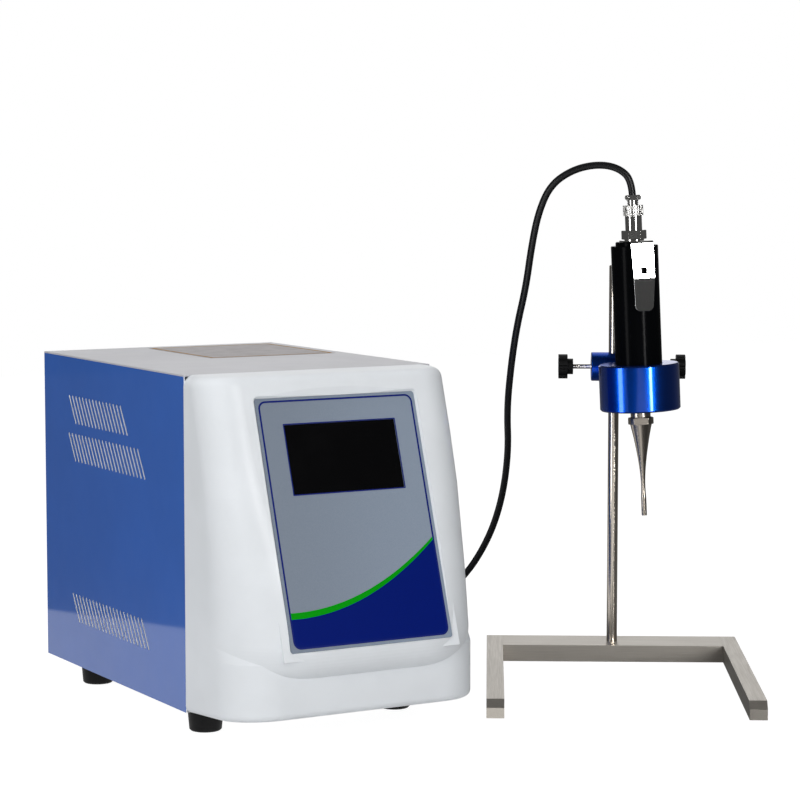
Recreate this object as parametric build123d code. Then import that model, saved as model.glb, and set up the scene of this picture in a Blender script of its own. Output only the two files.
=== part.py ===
"""Bench-top probe sonicator: generator, bench stand, ultrasonic handpiece and lead.

Everything is in millimetres, +Z up, standing on the bench at Z = 0. The set is
laid out as it is used: the generator faces -Y, and the stand stands to its right,
turned about Z. The script writes one STEP file per piece into parts/.
"""
from build123d import *
import math
import os

# Sizes of the generator
CASE_W = 281.0              # outside width of the sheet-metal case
CASE_D = 363.0              # case depth, without the moulded front
CASE_BOTTOM = 24.0          # underside of the case above the bench
SHEET = 1.6                 # sheet thickness of the case
LIP = 12.0                  # height of the folded lips of the base pan

# moulded front
BEZEL_WALL = 4.0
BEZEL_TILT = 18.3           # the face leans back by this many degrees
BEZEL_FACE_Y = 142.0        # where the leaning face, drawn on down, meets FACE_FOOT_Z
FACE_FOOT_Z = 80.0
FACE_CORNERS = (            # (share of the face's height, corner radius in plan)
    (0.0, 75.0), (0.12, 66.5), (0.23, 59.0), (0.41, 49.6), (0.55, 42.3), (0.75, 38.5), (1.0, 37.5),
)
BEZEL_CROWN = 12.0          # rounding of the top front edge
BELLY_TOP_Z = 106.0         # below this height the face rounds under to the chin
BELLY_R = 28.0              # radius of that rounding
BELLY_STEPS = 11
BELLY_UNDER = 68.0          # how far under the rounding turns, in degrees
BELLY_CORNER_GROWTH = 0.3   # its corners in plan widen by this per millimetre down
CHIN_Y = 118.5              # how far the chin stands out
CHIN_CORNER = 48.8
CHIN_TOP_Z = 88.0           # above this height the chin draws in under the face
CHIN_HEAD = 22.0            # over this height
CHIN_DRAW = 8.0             # and by this much
CHIN_RISE = 0.072           # the lower edge rises this much per millimetre forwards
CHIN_EDGE = 7.0             # rounding of the chin's lower edge

# front panel set into the moulding
PANEL_W = 180.0
PANEL_L = 252.0             # along the slope
PANEL_T = 2.0
PANEL_FOOT_Y = 132.4        # the panel's lower edge in front of the case
PANEL_FOOT_Z = 101.0
PANEL_MARGIN = 21.75        # from the panel's upper edge to the top of the case
PANEL_CLEAR = 0.2           # between the panel and its recess, all round
PANEL_FILLET = 3.0
RECESS_FLARE = 35.0         # its walls lean outwards by this many degrees
RECESS_ARCH = 8.0           # the scoop over the panel's upper edge rises this far
CASE_TOP = PANEL_FOOT_Z + PANEL_L * math.cos(math.radians(BEZEL_TILT)) + PANEL_MARGIN

# touch screen, behind a window in the panel
SCREEN_W = 124.0
SCREEN_H = 70.0
SCREEN_CLEAR = 0.3
SCREEN_FROM_TOP = 27.6      # from the panel's top edge to the window
SCREEN_T = 3.0
SCREEN_OFFSET_X = 0.6
DISPLAY_BOARD_T = 1.6
DISPLAY_BOARD_GAP = 6.0

# vent slots in the case sides
SLOT_W = 3.2
SLOT_H = 30.0
SLOT_LEAN = 32.0            # slots lean forward going down, degrees from vertical
SLOT_PITCH = 9.1
SLOT_FIRST_Y = (284.0, 286.0, 280.0)    # hindmost slot of the three rows
SLOT_MID_Z = (304.0, 263.0, 87.5)       # middle height of the rows
SLOT_COUNT = (16, 21, 21)

# label plate on the lid
LID_LABEL_W = 150.0
LID_LABEL_D = 161.0
LID_LABEL_X = 51.0          # its middle, from the case's middle
LID_LABEL_Y = 260.5
LID_LABEL_T = 0.4

# feet
FOOT_X = 109.5
FOOT_FRONT_Y = 20.0
FOOT_REAR_Y = 294.5
FOOT_D_TOP = 37.0
FOOT_D_BOTTOM = 33.0
FOOT_SCREW_D = 5.0
FOOT_SCREW_HEAD_D = 10.0
FOOT_COUNTERBORE = 12.0     # depth of the screw's pocket

# fan in the rear panel
FAN_SIZE = 80.0
FAN_T = 25.0
FAN_BORE = 76.0
FAN_HUB_D = 34.0
FAN_X = -62.0
FAN_Z = 240.0
FAN_BLADES = 7
FAN_TIP_CLEAR = 1.5
FAN_SHAFT_D = 5.0
GUARD_WIRE = 1.8
GUARD_RINGS = 5

# mains inlet, switch and fuse in the rear panel
INLET_X = -85.0
INLET_Z = 80.0
INLET_W = 28.0
INLET_H = 20.0
INLET_FLANGE_W = 50.0
INLET_FLANGE_H = 28.0
SWITCH_X = -30.0
SWITCH_Z = 80.0
SWITCH_W = 27.0
SWITCH_H = 21.0
SWITCH_FLANGE = 2.0
SWITCH_CLEAR = 0.4
SWITCH_THROW = 10.0         # degrees each way of level
FUSE_X = 15.0
FUSE_Z = 80.0
FUSE_D = 14.0

# output socket and plug in the rear panel
OUT_X = 96.0
OUT_Z = 84.0
OUT_FLANGE = 30.0
OUT_FLANGE_T = 3.0
OUT_NOSE_D = 19.0
OUT_NOSE_L = 12.0
PLUG_RING_D = 25.0
PLUG_RING_L = 15.0
PLUG_BODY_D = 18.8
PLUG_BODY_L = 20.0
PLUG_TAIL_D = 12.4
PLUG_TAIL_L = 22.0
PLUG_SPIGOT_D = 13.8
PIN_D = 1.6

# inside the case
BOARD_T = 1.6
BOARD_W = 120.0
BOARD_D = 210.0
STANDOFF_H = 12.0
STANDOFF_D = 7.0
TRANSFORMER_D = 96.0
TRANSFORMER_H = 46.0
TRANSFORMER_X = -75.0
TRANSFORMER_Y = 110.0
BOARD_X = 55.0
BOARD_BEHIND = 81.4         # from the board's rear edge to the rear panel
HEATSINK_X = -80.0
HEATSINK_H = 90.0
HEATSINK_BEHIND = 46.4      # from the heat sink to the rear panel
HEATSINK_L = 130.0
HEATSINK_FINS = 9
OUTPUT_COIL = 44.0

# Sizes of the stand
STAND_X = 462.9             # foot of the rod, from the middle of the case front
STAND_Y = 132.4
STAND_YAW = -31.7
BASE_W = 289.0
BASE_L = 365.0
BAR_H = 19.0
ARM_W = 18.6
BACK_D = 60.0
ARM_CHAMFER = 8.0
ROD_D = 12.0
ROD_TOP = 453.0
ROD_SEAT = 8.0              # the rod's lower end above the bench
ROD_SCREW_D = 6.0
ROD_SCREW_HEAD_D = 11.0
ROD_SCREW_HEAD_H = 4.0

# clamp on the rod
CLAMP_Z = 337.0
BOSS_D = 33.0
BOSS_LEFT = 26.0            # the boss, from the rod's axis to each end
BOSS_RIGHT = 47.0
SLIDE_CLEAR = 0.08          # radial clearance of the rod and the stem in the boss
STEM_D = 12.0
KNOB_D = 28.0
KNOB_T = 10.3
KNOB_LOBES = 8
KNOB_COLLAR_D = 18.0
KNOB_COLLAR_T = 6.3
SCREW_D = 5.2
SCREW_CLEAR = 0.06
SCREW_FREE = 20.7           # free length of the screw between boss and collar
SCREW_TIP_GAP = 0.3
RIGHT_SCREW_FREE = 17.6

# holding ring
RING_X = 25.0               # stem and ring, from the rod's axis
RING_Y = -66.0
RING_D = 90.0
RING_H = 52.0
RING_ABOVE = 9.0            # top of the ring above the stem's axis
RING_LIP = 6.0              # height of the inner lip that carries the handpiece
RING_LIP_D = 44.0
RING_EDGE = 1.6
RING_LEAN = 2.6             # lean of the ring and handpiece at rest, degrees
STEM_IN_RING = 14.0
STEM_TAIL = 20.0            # how far the stem reaches behind the rod's plane

# handpiece, measured from the stem's height along its own axis
BARREL_D = 52.6
BARREL_CLEAR = 0.4          # radial clearance in the ring
BARREL_SEAT = 0.3
BARREL_WALL = 3.0
BARREL_TOP = 141.0
BARREL_LIP = 3.0
CAP_D = 42.0
CAP_H = 4.5
CAP_FLANGE_H = 3.0
FRONT_HOLE_D = 34.0
CLIP_T = 1.2
CLIP_W = 26.0
CLIP_FOOT_W = 21.0
CLIP_TURN = 14.0            # the clip sits this far round to the right
CLIP_STAND = 28.2           # radius of the clip at its top
CLIP_KNEE = 32.5            # radius at its knee
CLIP_KNEE_Z = 106.0
CLIP_END_Z = 69.0
CLIP_END = 28.6
CLIP_BEND = 2.6
CLIP_HOLE = 7.0
CLIP_HOLE_Z = 114.0

SOCKET_NUT_AF = 24.2
SOCKET_NUT_H = 10.0
SOCKET_WASHER_D = 22.0
SOCKET_WASHER_H = 1.2
SOCKET_THREAD_D = 16.0
SHELL_D = 18.8
SHELL_H = 16.0
COUPLER_D = 22.4
COUPLER_H = 11.6
COUPLER_FLUTES = 24
NECK_D = 12.4
NECK_H = 7.0
SADDLE_W = 17.7
SADDLE_D = 12.0
SADDLE_H = 5.6
SADDLE_SCREW_D = 3.0
FIT_GAP = 0.1               # between faces of pieces that turn on each other

# vibrating stack in the barrel
DRIVER_D = 30.0
DRIVER_FLANGE_T = 4.0
DRIVER_FLANGE_Z = -20.0
DRIVER_END_Z = -42.0
DRIVER_L = 62.0
PIEZO_D = 38.0
PIEZO_BORE = 14.0
PIEZO_T = 5.0
PIEZO_COUNT = 4
ELECTRODE_T = 0.3
REAR_MASS_D = 36.0
REAR_MASS_H = 26.0
BOLT_D = 10.0

# horn
HORN_NECK_D = 22.4
HORN_NECK_END = -51.0
HORN_COLLAR_D = 28.6
HORN_COLLAR_END = -59.0
HORN_FLATS = 24.0           # spanner flats across
HORN_SHOULDER_D = 24.6
HORN_PROFILE = (            # (height, radius) down the long taper to the tip
    (-73.8, 9.05), (-88.5, 6.4), (-103.2, 4.25), (-117.0, 2.9), (-130.0, 2.45),
)
HORN_TIP_D = 6.0
HORN_TIP_TOP = -142.0
HORN_TIP_END = -162.6
HORN_STUD_D = 10.0
HORN_STUD_L = 14.0
STUD_CLEAR = 0.08

# lead, from the handpiece to the generator's output socket
LEAD_D = 8.0
LEAD_UPPER = [              # out of the saddle and over the top
    (442.10, 67.67, 528.21), (441.25, 68.20, 550.18), (429, 77, 564), (411, 91, 568),
    (389, 108, 562), (370, 124, 545), (362, 136, 515), (361, 141.5, 496),
]
LEAD_MIDDLE = [             # down beside the rod
    (361, 141.5, 496), (360, 147, 477), (362, 162, 429), (362, 181, 383), (364.5, 191, 359.5),
]
LEAD_LOWER = [              # down to the bench, round the back and up to the plug
    (364.5, 191, 359.5), (367, 201, 336), (375, 222, 284), (390, 242, 232), (397, 267, 172),
    (396, 297, 119), (383, 332, 69), (352, 373, 28), (310, 412, 8), (262, 450, 4.4),
    (210, 482, 5), (165, 500, 12), (128, 500, 38), (104, 484, 68), (96, 455, 84),
    (96, 423.5, 84),
]

# Helpers
PARTS = {}


def keep(name, shape):
    """Put one piece on the list of files to write."""
    PARTS[name] = shape


def turned(profile):
    """Revolve an (r, z) outline about Z."""
    with BuildPart() as part:
        with BuildSketch(Plane.XZ):
            with BuildLine():
                Polyline(*[(r, z) for r, z in profile], close=True)
            make_face()
        revolve(axis=Axis.Z)
    return part.part


def disc(d, z0, z1, bore=0.0):
    """A round or ring-shaped piece between two heights on the Z axis."""
    body = Pos(0, 0, (z0 + z1) / 2) * Cylinder(d / 2, z1 - z0)
    if bore:
        body -= Pos(0, 0, (z0 + z1) / 2) * Cylinder(bore / 2, z1 - z0 + 2)
    return body


def block(x0, x1, y0, y1, z0, z1):
    """A box between two corners."""
    return Pos((x0 + x1) / 2, (y0 + y1) / 2, (z0 + z1) / 2) * Box(x1 - x0, y1 - y0, z1 - z0)


def along_x(d, x0, x1, y=0.0, z=0.0):
    """A round bar along X."""
    return Pos((x0 + x1) / 2, y, z) * Rot(0, 90, 0) * Cylinder(d / 2, x1 - x0)


def along_y(d, y0, y1, x=0.0, z=0.0):
    """A round bar along Y."""
    return Pos(x, (y0 + y1) / 2, z) * Rot(90, 0, 0) * Cylinder(d / 2, y1 - y0)


def fluted(d, height, flutes, depth):
    """A round grip with flutes cut along its rim, standing on Z = 0."""
    grip = Pos(0, 0, height / 2) * Cylinder(d / 2, height)
    cutters = [Pos(*(Vector(d / 2 + depth * 0.35, 0).rotate(Axis.Z, 360 * i / flutes)))
               * Pos(0, 0, height / 2) * Cylinder(depth * 0.85, height + 2)
               for i in range(flutes)]
    return grip - cutters


# Places
HALF_W = CASE_W / 2
TILT = math.radians(BEZEL_TILT)
STAND = Pos(STAND_X, STAND_Y, 0) * Rot(0, 0, STAND_YAW)
RING_AT = STAND * Pos(RING_X, RING_Y, CLAMP_Z) * Rot(0, -RING_LEAN, 0)
REAR = CASE_D - SHEET


def panel_plane(out=0.0):
    """Plane on the panel's front, origin at its lower middle, Y up the slope."""
    foot = Vector(0, -PANEL_FOOT_Y, PANEL_FOOT_Z)
    up = Vector(0, math.sin(TILT), math.cos(TILT))
    normal = Vector(0, -math.cos(TILT), math.sin(TILT))
    return Plane(origin=foot + normal * out, x_dir=(1, 0, 0), z_dir=normal)


# Generator
def slot_cutters(side):
    """Slanted vent slots through one side of the case; side is -1 or 1."""
    cutters = []
    lean = math.radians(SLOT_LEAN)
    for first_y, count, mid_z in zip(SLOT_FIRST_Y, SLOT_COUNT, SLOT_MID_Z):
        for i in range(count):
            y = first_y - i * SLOT_PITCH
            prism = extrude(Plane.YZ * Rot(0, 0, 90 - SLOT_LEAN)
                            * SlotOverall(SLOT_H / math.cos(lean), SLOT_W), 4, both=True)
            cutters.append(Pos(side * (HALF_W - SHEET / 2), y, mid_z) * prism)
    return cutters


def build_case():
    """The sheet-metal case: base pan, two sides, lid and rear panel."""
    pan = block(-HALF_W + SHEET, HALF_W - SHEET, 0, REAR, CASE_BOTTOM, CASE_BOTTOM + SHEET)
    for y0 in (0, REAR - SHEET):
        pan += block(-HALF_W + SHEET, HALF_W - SHEET, y0, y0 + SHEET,
                     CASE_BOTTOM, CASE_BOTTOM + LIP)
    for x, y in FEET.values():
        pan -= Pos(x, y, CASE_BOTTOM) * Cylinder(FOOT_SCREW_D / 2, 4 * SHEET)
    keep("base_pan", pan)
    for side, name in ((-1, "side_panel_left"), (1, "side_panel_right")):
        x0, x1 = sorted((side * HALF_W, side * (HALF_W - SHEET)))
        panel = block(x0, x1, 0, CASE_D, CASE_BOTTOM, CASE_TOP - SHEET)
        keep(name, panel - slot_cutters(side))
    keep("lid_panel", block(-HALF_W, HALF_W, 0, CASE_D, CASE_TOP - SHEET, CASE_TOP))
    rear = block(-HALF_W + SHEET, HALF_W - SHEET, REAR, CASE_D, CASE_BOTTOM, CASE_TOP - SHEET)
    rear -= along_y(FAN_BORE, REAR - 1, CASE_D + 1, FAN_X, FAN_Z)
    rear -= block(INLET_X - INLET_W / 2, INLET_X + INLET_W / 2, REAR - 1, CASE_D + 1,
                  INLET_Z - INLET_H / 2, INLET_Z + INLET_H / 2)
    rear -= block(SWITCH_X - SWITCH_W / 2, SWITCH_X + SWITCH_W / 2, REAR - 1, CASE_D + 1,
                  SWITCH_Z - SWITCH_H / 2, SWITCH_Z + SWITCH_H / 2)
    rear -= along_y(FUSE_D, REAR - 1, CASE_D + 1, FUSE_X, FUSE_Z)
    rear -= along_y(OUT_NOSE_D, REAR - 1, CASE_D + 1, OUT_X, OUT_Z)
    keep("rear_panel", rear)
    keep("lid_label", block(LID_LABEL_X - LID_LABEL_W / 2, LID_LABEL_X + LID_LABEL_W / 2,
                            LID_LABEL_Y - LID_LABEL_D / 2, LID_LABEL_Y + LID_LABEL_D / 2,
                            CASE_TOP, CASE_TOP + LID_LABEL_T))


FEET = {
    "front_left": (-FOOT_X, FOOT_FRONT_Y), "front_right": (FOOT_X, FOOT_FRONT_Y),
    "rear_left": (-FOOT_X, FOOT_REAR_Y), "rear_right": (FOOT_X, FOOT_REAR_Y),
}


def build_feet():
    """Four tapered rubber feet, each held by a screw up into the base pan."""
    for name, (x, y) in FEET.items():
        foot = turned([(0, 0), (FOOT_D_BOTTOM / 2 - 1.5, 0), (FOOT_D_BOTTOM / 2, 1.5),
                       (FOOT_D_TOP / 2, CASE_BOTTOM), (0, CASE_BOTTOM)])
        foot -= disc(FOOT_SCREW_HEAD_D + 1, -1, FOOT_COUNTERBORE)
        foot -= disc(FOOT_SCREW_D, 0, CASE_BOTTOM + 1)
        keep("foot_" + name, Pos(x, y, 0) * foot)
        head_z = FOOT_COUNTERBORE - 3.4
        screw = disc(FOOT_SCREW_HEAD_D, head_z, FOOT_COUNTERBORE)
        screw += disc(FOOT_SCREW_D, FOOT_COUNTERBORE, CASE_BOTTOM + SHEET + 3)
        screw -= Pos(0, 0, head_z) * Box(7, 1.2, 2.4)
        screw -= Pos(0, 0, head_z) * Box(1.2, 7, 2.4)
        keep("foot_screw_" + name, Pos(x, y, 0) * screw)


def plan(z, front, radius, shrink=0.0):
    """Plan outline at a height: square at the case, two round corners in front."""
    half = HALF_W - shrink
    y = -front + shrink
    r = radius - shrink
    with BuildSketch(Plane.XY.offset(z)) as sketch:
        with BuildLine():
            Line((-half, 0), (half, 0))
            Line((half, 0), (half, y + r))
            RadiusArc((half, y + r), (half - r, y), r)
            Line((half - r, y), (-half + r, y))
            RadiusArc((-half + r, y), (-half, y + r), r)
            Line((-half, y + r), (-half, 0))
        make_face()
    return sketch.sketch


def bezel_solid(shrink=0.0):
    """The moulding's face and chin, or their hollows when shrunk by the wall."""
    top = CASE_TOP - shrink

    def on_face(z):
        """Plan outline of the leaning face at a height."""
        front = (BEZEL_FACE_Y - math.tan(TILT) * (z - FACE_FOOT_Z)
                 - shrink * (1 / math.cos(TILT) - 1))
        share = (z - BELLY_TOP_Z) / (CASE_TOP - BELLY_TOP_Z)
        for (s0, r0), (s1, r1) in zip(FACE_CORNERS, FACE_CORNERS[1:]):
            if share <= s1:
                break
        return plan(z, front, r0 + (r1 - r0) * (share - s0) / (s1 - s0), shrink)

    upper = loft([on_face(BELLY_TOP_Z + share * (CASE_TOP - BELLY_TOP_Z))
                  for share, _ in FACE_CORNERS[:-1]] + [on_face(top)], ruled=True)
    belly_y = BEZEL_FACE_Y - math.tan(TILT) * (BELLY_TOP_Z - FACE_FOOT_Z)
    sections = [on_face(BELLY_TOP_Z)]
    for step in range(1, BELLY_STEPS + 1):
        turn = TILT - (TILT + math.radians(BELLY_UNDER)) * step / BELLY_STEPS
        drop = BELLY_R * (math.sin(TILT) - math.sin(turn))
        front = belly_y + BELLY_R * (math.cos(turn) - math.cos(TILT))
        sections.append(plan(BELLY_TOP_Z - drop, front,
                             FACE_CORNERS[0][1] + BELLY_CORNER_GROWTH * drop, shrink))
    lower = loft(sections, ruled=True)
    chin = extrude(plan(0, CHIN_Y, CHIN_CORNER, shrink), CHIN_TOP_Z)
    reach = 2 * CHIN_Y
    wedge = extrude(Plane.YZ * Polygon(
        (reach, CASE_BOTTOM + shrink - CHIN_RISE * reach),
        (-reach, CASE_BOTTOM + shrink + CHIN_RISE * reach),
        (-reach, -reach), (reach, -reach), align=None), CASE_W, both=True)
    chin -= wedge
    lower_edges = [e for e in chin.edges() if e.center().Z < CHIN_TOP_Z / 2 and e.center().Y < -5
                   and abs(e.bounding_box().size.Z - e.length) > 1]
    chin = fillet(lower_edges, CHIN_EDGE - shrink / 2)
    head = loft([plan(CHIN_TOP_Z, CHIN_Y, CHIN_CORNER, shrink),
                 plan(CHIN_TOP_Z + CHIN_HEAD, CHIN_Y - CHIN_DRAW, CHIN_CORNER + CHIN_DRAW, shrink)],
                ruled=True)
    return upper + lower, chin + head


def build_bezel():
    """White moulded front: leaning face rounding under to a chin, recessed panel seat."""
    face, chin = bezel_solid()
    crown = [e for e in face.edges()
             if e.center().Z > CASE_TOP - 1 and e.center().Y < -1 and e.length > 30]
    face = fillet(crown, BEZEL_CROWN)
    shell = face + chin
    inner_face, inner_chin = bezel_solid(BEZEL_WALL)
    hollow = inner_face + inner_chin
    hollow += block(-HALF_W + BEZEL_WALL, HALF_W - BEZEL_WALL, -2, 1,
                    CASE_BOTTOM + BEZEL_WALL, CASE_TOP - BEZEL_WALL)
    shell -= hollow
    # seat for the panel: a flared opening with an arched top, and a ledge behind it
    front = panel_plane()
    opening = front * Pos(0, PANEL_L / 2) * RectangleRounded(
        PANEL_W + 2 * PANEL_CLEAR, PANEL_L + 2 * PANEL_CLEAR, PANEL_FILLET)
    out = panel_plane(30)
    flare = 30 * math.tan(math.radians(RECESS_FLARE))
    wide = out * Pos(0, PANEL_L / 2) * RectangleRounded(
        PANEL_W + 2 * flare, PANEL_L + 2 * flare, PANEL_FILLET + flare)
    shell -= loft([opening, wide], ruled=True)
    shell -= extrude(opening, -PANEL_T)
    ledge_ring = extrude(panel_plane(-PANEL_T) * Pos(0, PANEL_L / 2)
                         * Rectangle(PANEL_W + 16, PANEL_L + 16), -3)
    ledge_ring -= extrude(panel_plane(-PANEL_T) * Pos(0, PANEL_L / 2)
                          * Rectangle(PANEL_W - 16, PANEL_L - 16), -4)
    shell += ledge_ring
    # shallow scoop with an arched edge over the panel
    face_y = BEZEL_FACE_Y - math.tan(TILT) * (PANEL_FOOT_Z - FACE_FOOT_Z)
    depth = (face_y - PANEL_FOOT_Y) * math.cos(TILT)
    radius = ((PANEL_W / 2) ** 2 / depth + depth) / 2
    pitch = math.degrees(math.atan(depth / RECESS_ARCH))
    at = front.location * Pos(0, PANEL_L, 0)
    scoop = at * Rot(pitch, 0, 0) * Pos(0, 0, radius) * Rot(90, 0, 0) * Cylinder(radius, 60)
    shell -= scoop & (at * Pos(0, 15, 15) * Box(PANEL_W + 20, 30, 40))
    keep("front_bezel", shell)


def build_panel():
    """Front panel with its window, the touch screen and the board behind it."""
    front = panel_plane()
    outline = RectangleRounded(PANEL_W, PANEL_L, PANEL_FILLET)
    plate = extrude(front * Pos(0, PANEL_L / 2) * outline, -PANEL_T)
    window_y = PANEL_L - SCREEN_FROM_TOP - SCREEN_H / 2
    at = Pos(SCREEN_OFFSET_X, window_y)
    plate -= extrude(front * at * Rectangle(SCREEN_W, SCREEN_H), -2 * PANEL_T, both=True)
    keep("front_panel", plate)
    glass = extrude(panel_plane(-0.3) * at * Rectangle(SCREEN_W - 2 * SCREEN_CLEAR,
                                                      SCREEN_H - 2 * SCREEN_CLEAR), -(PANEL_T - 0.3))
    glass += extrude(panel_plane(-PANEL_T) * at * Rectangle(SCREEN_W + 10, SCREEN_H + 8), -SCREEN_T)
    keep("touch_screen", glass)
    board = extrude(panel_plane(-PANEL_T - SCREEN_T - DISPLAY_BOARD_GAP) * at
                    * Rectangle(SCREEN_W + 14, SCREEN_H + 12), -DISPLAY_BOARD_T)
    for sx in (-1, 1):
        for sy in (-1, 1):
            peg = panel_plane(-PANEL_T - SCREEN_T) * Pos(SCREEN_OFFSET_X + sx * SCREEN_W / 2,
                                                        window_y + sy * SCREEN_H / 2) * Circle(2.5)
            board += extrude(peg, -DISPLAY_BOARD_GAP)
    keep("display_board", board)


# Rear fittings
def build_fan():
    """Axial fan behind the rear panel, with its rotor and the guard outside."""
    y1 = REAR
    y0 = y1 - FAN_T
    frame = block(-FAN_SIZE / 2, FAN_SIZE / 2, 0, FAN_T, -FAN_SIZE / 2, FAN_SIZE / 2)
    frame -= along_y(FAN_BORE, -1, FAN_T + 1)
    frame += [Rot(0, 45 + 90 * i, 0) * block(-2, 2, 0, 3, FAN_HUB_D / 2 - 2, FAN_BORE / 2 + 1)
              for i in range(4)]
    frame += along_y(FAN_HUB_D, 0, 3)
    frame -= along_y(FAN_SHAFT_D + 0.1, -1, 4)
    keep("fan_frame", Pos(FAN_X, y0, FAN_Z) * frame)
    tip = FAN_BORE / 2 - FAN_TIP_CLEAR
    rotor = along_y(FAN_HUB_D, 3.5, FAN_T - 2)
    rotor += along_y(FAN_SHAFT_D, 0.5, 4)
    blade = Rot(0, 0, 38) * Box(16, 1.4, tip - FAN_HUB_D / 2 + 3)
    blade &= Box(40, 15, 80)
    blade_z = (tip + FAN_HUB_D / 2 - 3) / 2
    rotor += [Rot(0, 360 * i / FAN_BLADES, 0) * Pos(0, 13, blade_z) * blade
              for i in range(FAN_BLADES)]
    rotor &= along_y(2 * tip, 0, FAN_T - 1)
    keep("fan_rotor", Pos(FAN_X, y0, FAN_Z) * rotor)
    step = FAN_BORE / 2 / GUARD_RINGS
    guard = along_y(2 * step, 0, GUARD_WIRE)
    for i in range(2, GUARD_RINGS + 1):
        r = step * i + GUARD_WIRE / 2
        guard += along_y(2 * r, 0, GUARD_WIRE) - along_y(2 * (r - GUARD_WIRE), -1, GUARD_WIRE + 1)
    eye = FAN_SIZE / 2 - 4.5
    for i in range(4):
        turn = Rot(0, 45 + 90 * i, 0)
        guard += turn * block(-GUARD_WIRE / 2, GUARD_WIRE / 2, 0, GUARD_WIRE,
                              step - 2, eye * math.sqrt(2) - 3)
        guard += turn * along_y(8, 0, 2.6, 0, eye * math.sqrt(2))
    keep("fan_guard", Pos(FAN_X, CASE_D, FAN_Z) * guard)


def build_inlet():
    """Mains inlet: a flanged body with its cavity and three blades."""
    body = block(-INLET_W / 2, INLET_W / 2, -20, 0, -INLET_H / 2, INLET_H / 2)
    body += block(-INLET_FLANGE_W / 2, INLET_FLANGE_W / 2, 0, 2.5,
                  -INLET_FLANGE_H / 2, INLET_FLANGE_H / 2)
    body -= block(-INLET_W / 2 + 2, INLET_W / 2 - 2, -15, 3, -INLET_H / 2 + 2, INLET_H / 2 - 2)
    body += [block(x - 1, x + 1, -16, -2, z - 2.2, z + 2.2) for x, z in ((-7, -2.5), (7, -2.5), (0, 2.5))]
    body += [along_y(6, 2.5, 4.0, x) for x in (-20, 20)]
    keep("mains_inlet", Pos(INLET_X, CASE_D, INLET_Z) * body)


def build_switch():
    """Rocker switch: frame with its flange, and the rocker on its axle."""
    inner_w, inner_h = SWITCH_W - 4, SWITCH_H - 1.6
    frame = block(-SWITCH_W / 2, SWITCH_W / 2, -14, 0, -SWITCH_H / 2, SWITCH_H / 2)
    frame += block(-SWITCH_W / 2 - 1.8, SWITCH_W / 2 + 1.8, 0, SWITCH_FLANGE,
                   -SWITCH_H / 2 - 1.8, SWITCH_H / 2 + 1.8)
    frame -= block(-inner_w / 2, inner_w / 2, -12, 5, -inner_h / 2, inner_h / 2)
    frame -= along_x(3.1, -inner_w / 2 - 1.5, inner_w / 2 + 1.5, -3.5)
    at = Pos(SWITCH_X, CASE_D, SWITCH_Z)
    keep("switch_frame", at * frame)
    half_w = inner_w / 2 - SWITCH_CLEAR
    half_h = inner_h / 2 - 1.4
    outline = Polygon((-4.5, -half_h + 2), (4.2, -half_h), (5.4, -half_h + 1.2), (2.4, 0),
                      (5.4, half_h - 1.2), (4.2, half_h), (-4.5, half_h - 2), align=None)
    rocker = extrude(Plane.YZ * outline, half_w, both=True)
    rocker += along_x(3.0, -half_w - 1.5, half_w + 1.5)
    keep("power_rocker", at * Pos(0, -3.5, 0) * Rot(-SWITCH_THROW, 0, 0) * rocker)


def build_fuse():
    """Panel fuse holder and its screw cap."""
    at = Pos(FUSE_X, CASE_D, FUSE_Z)
    holder = along_y(FUSE_D, -32, 0) + along_y(FUSE_D + 4, 0, 2)
    holder -= along_y(10.4, -26, 3)
    keep("fuse_holder", at * holder)
    cap = along_y(15, 2.1, 8) + along_y(10.2, -20, 2.1)
    cap -= block(-6, 6, 6.6, 9, -0.7, 0.7)
    keep("fuse_cap", at * cap)


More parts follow.
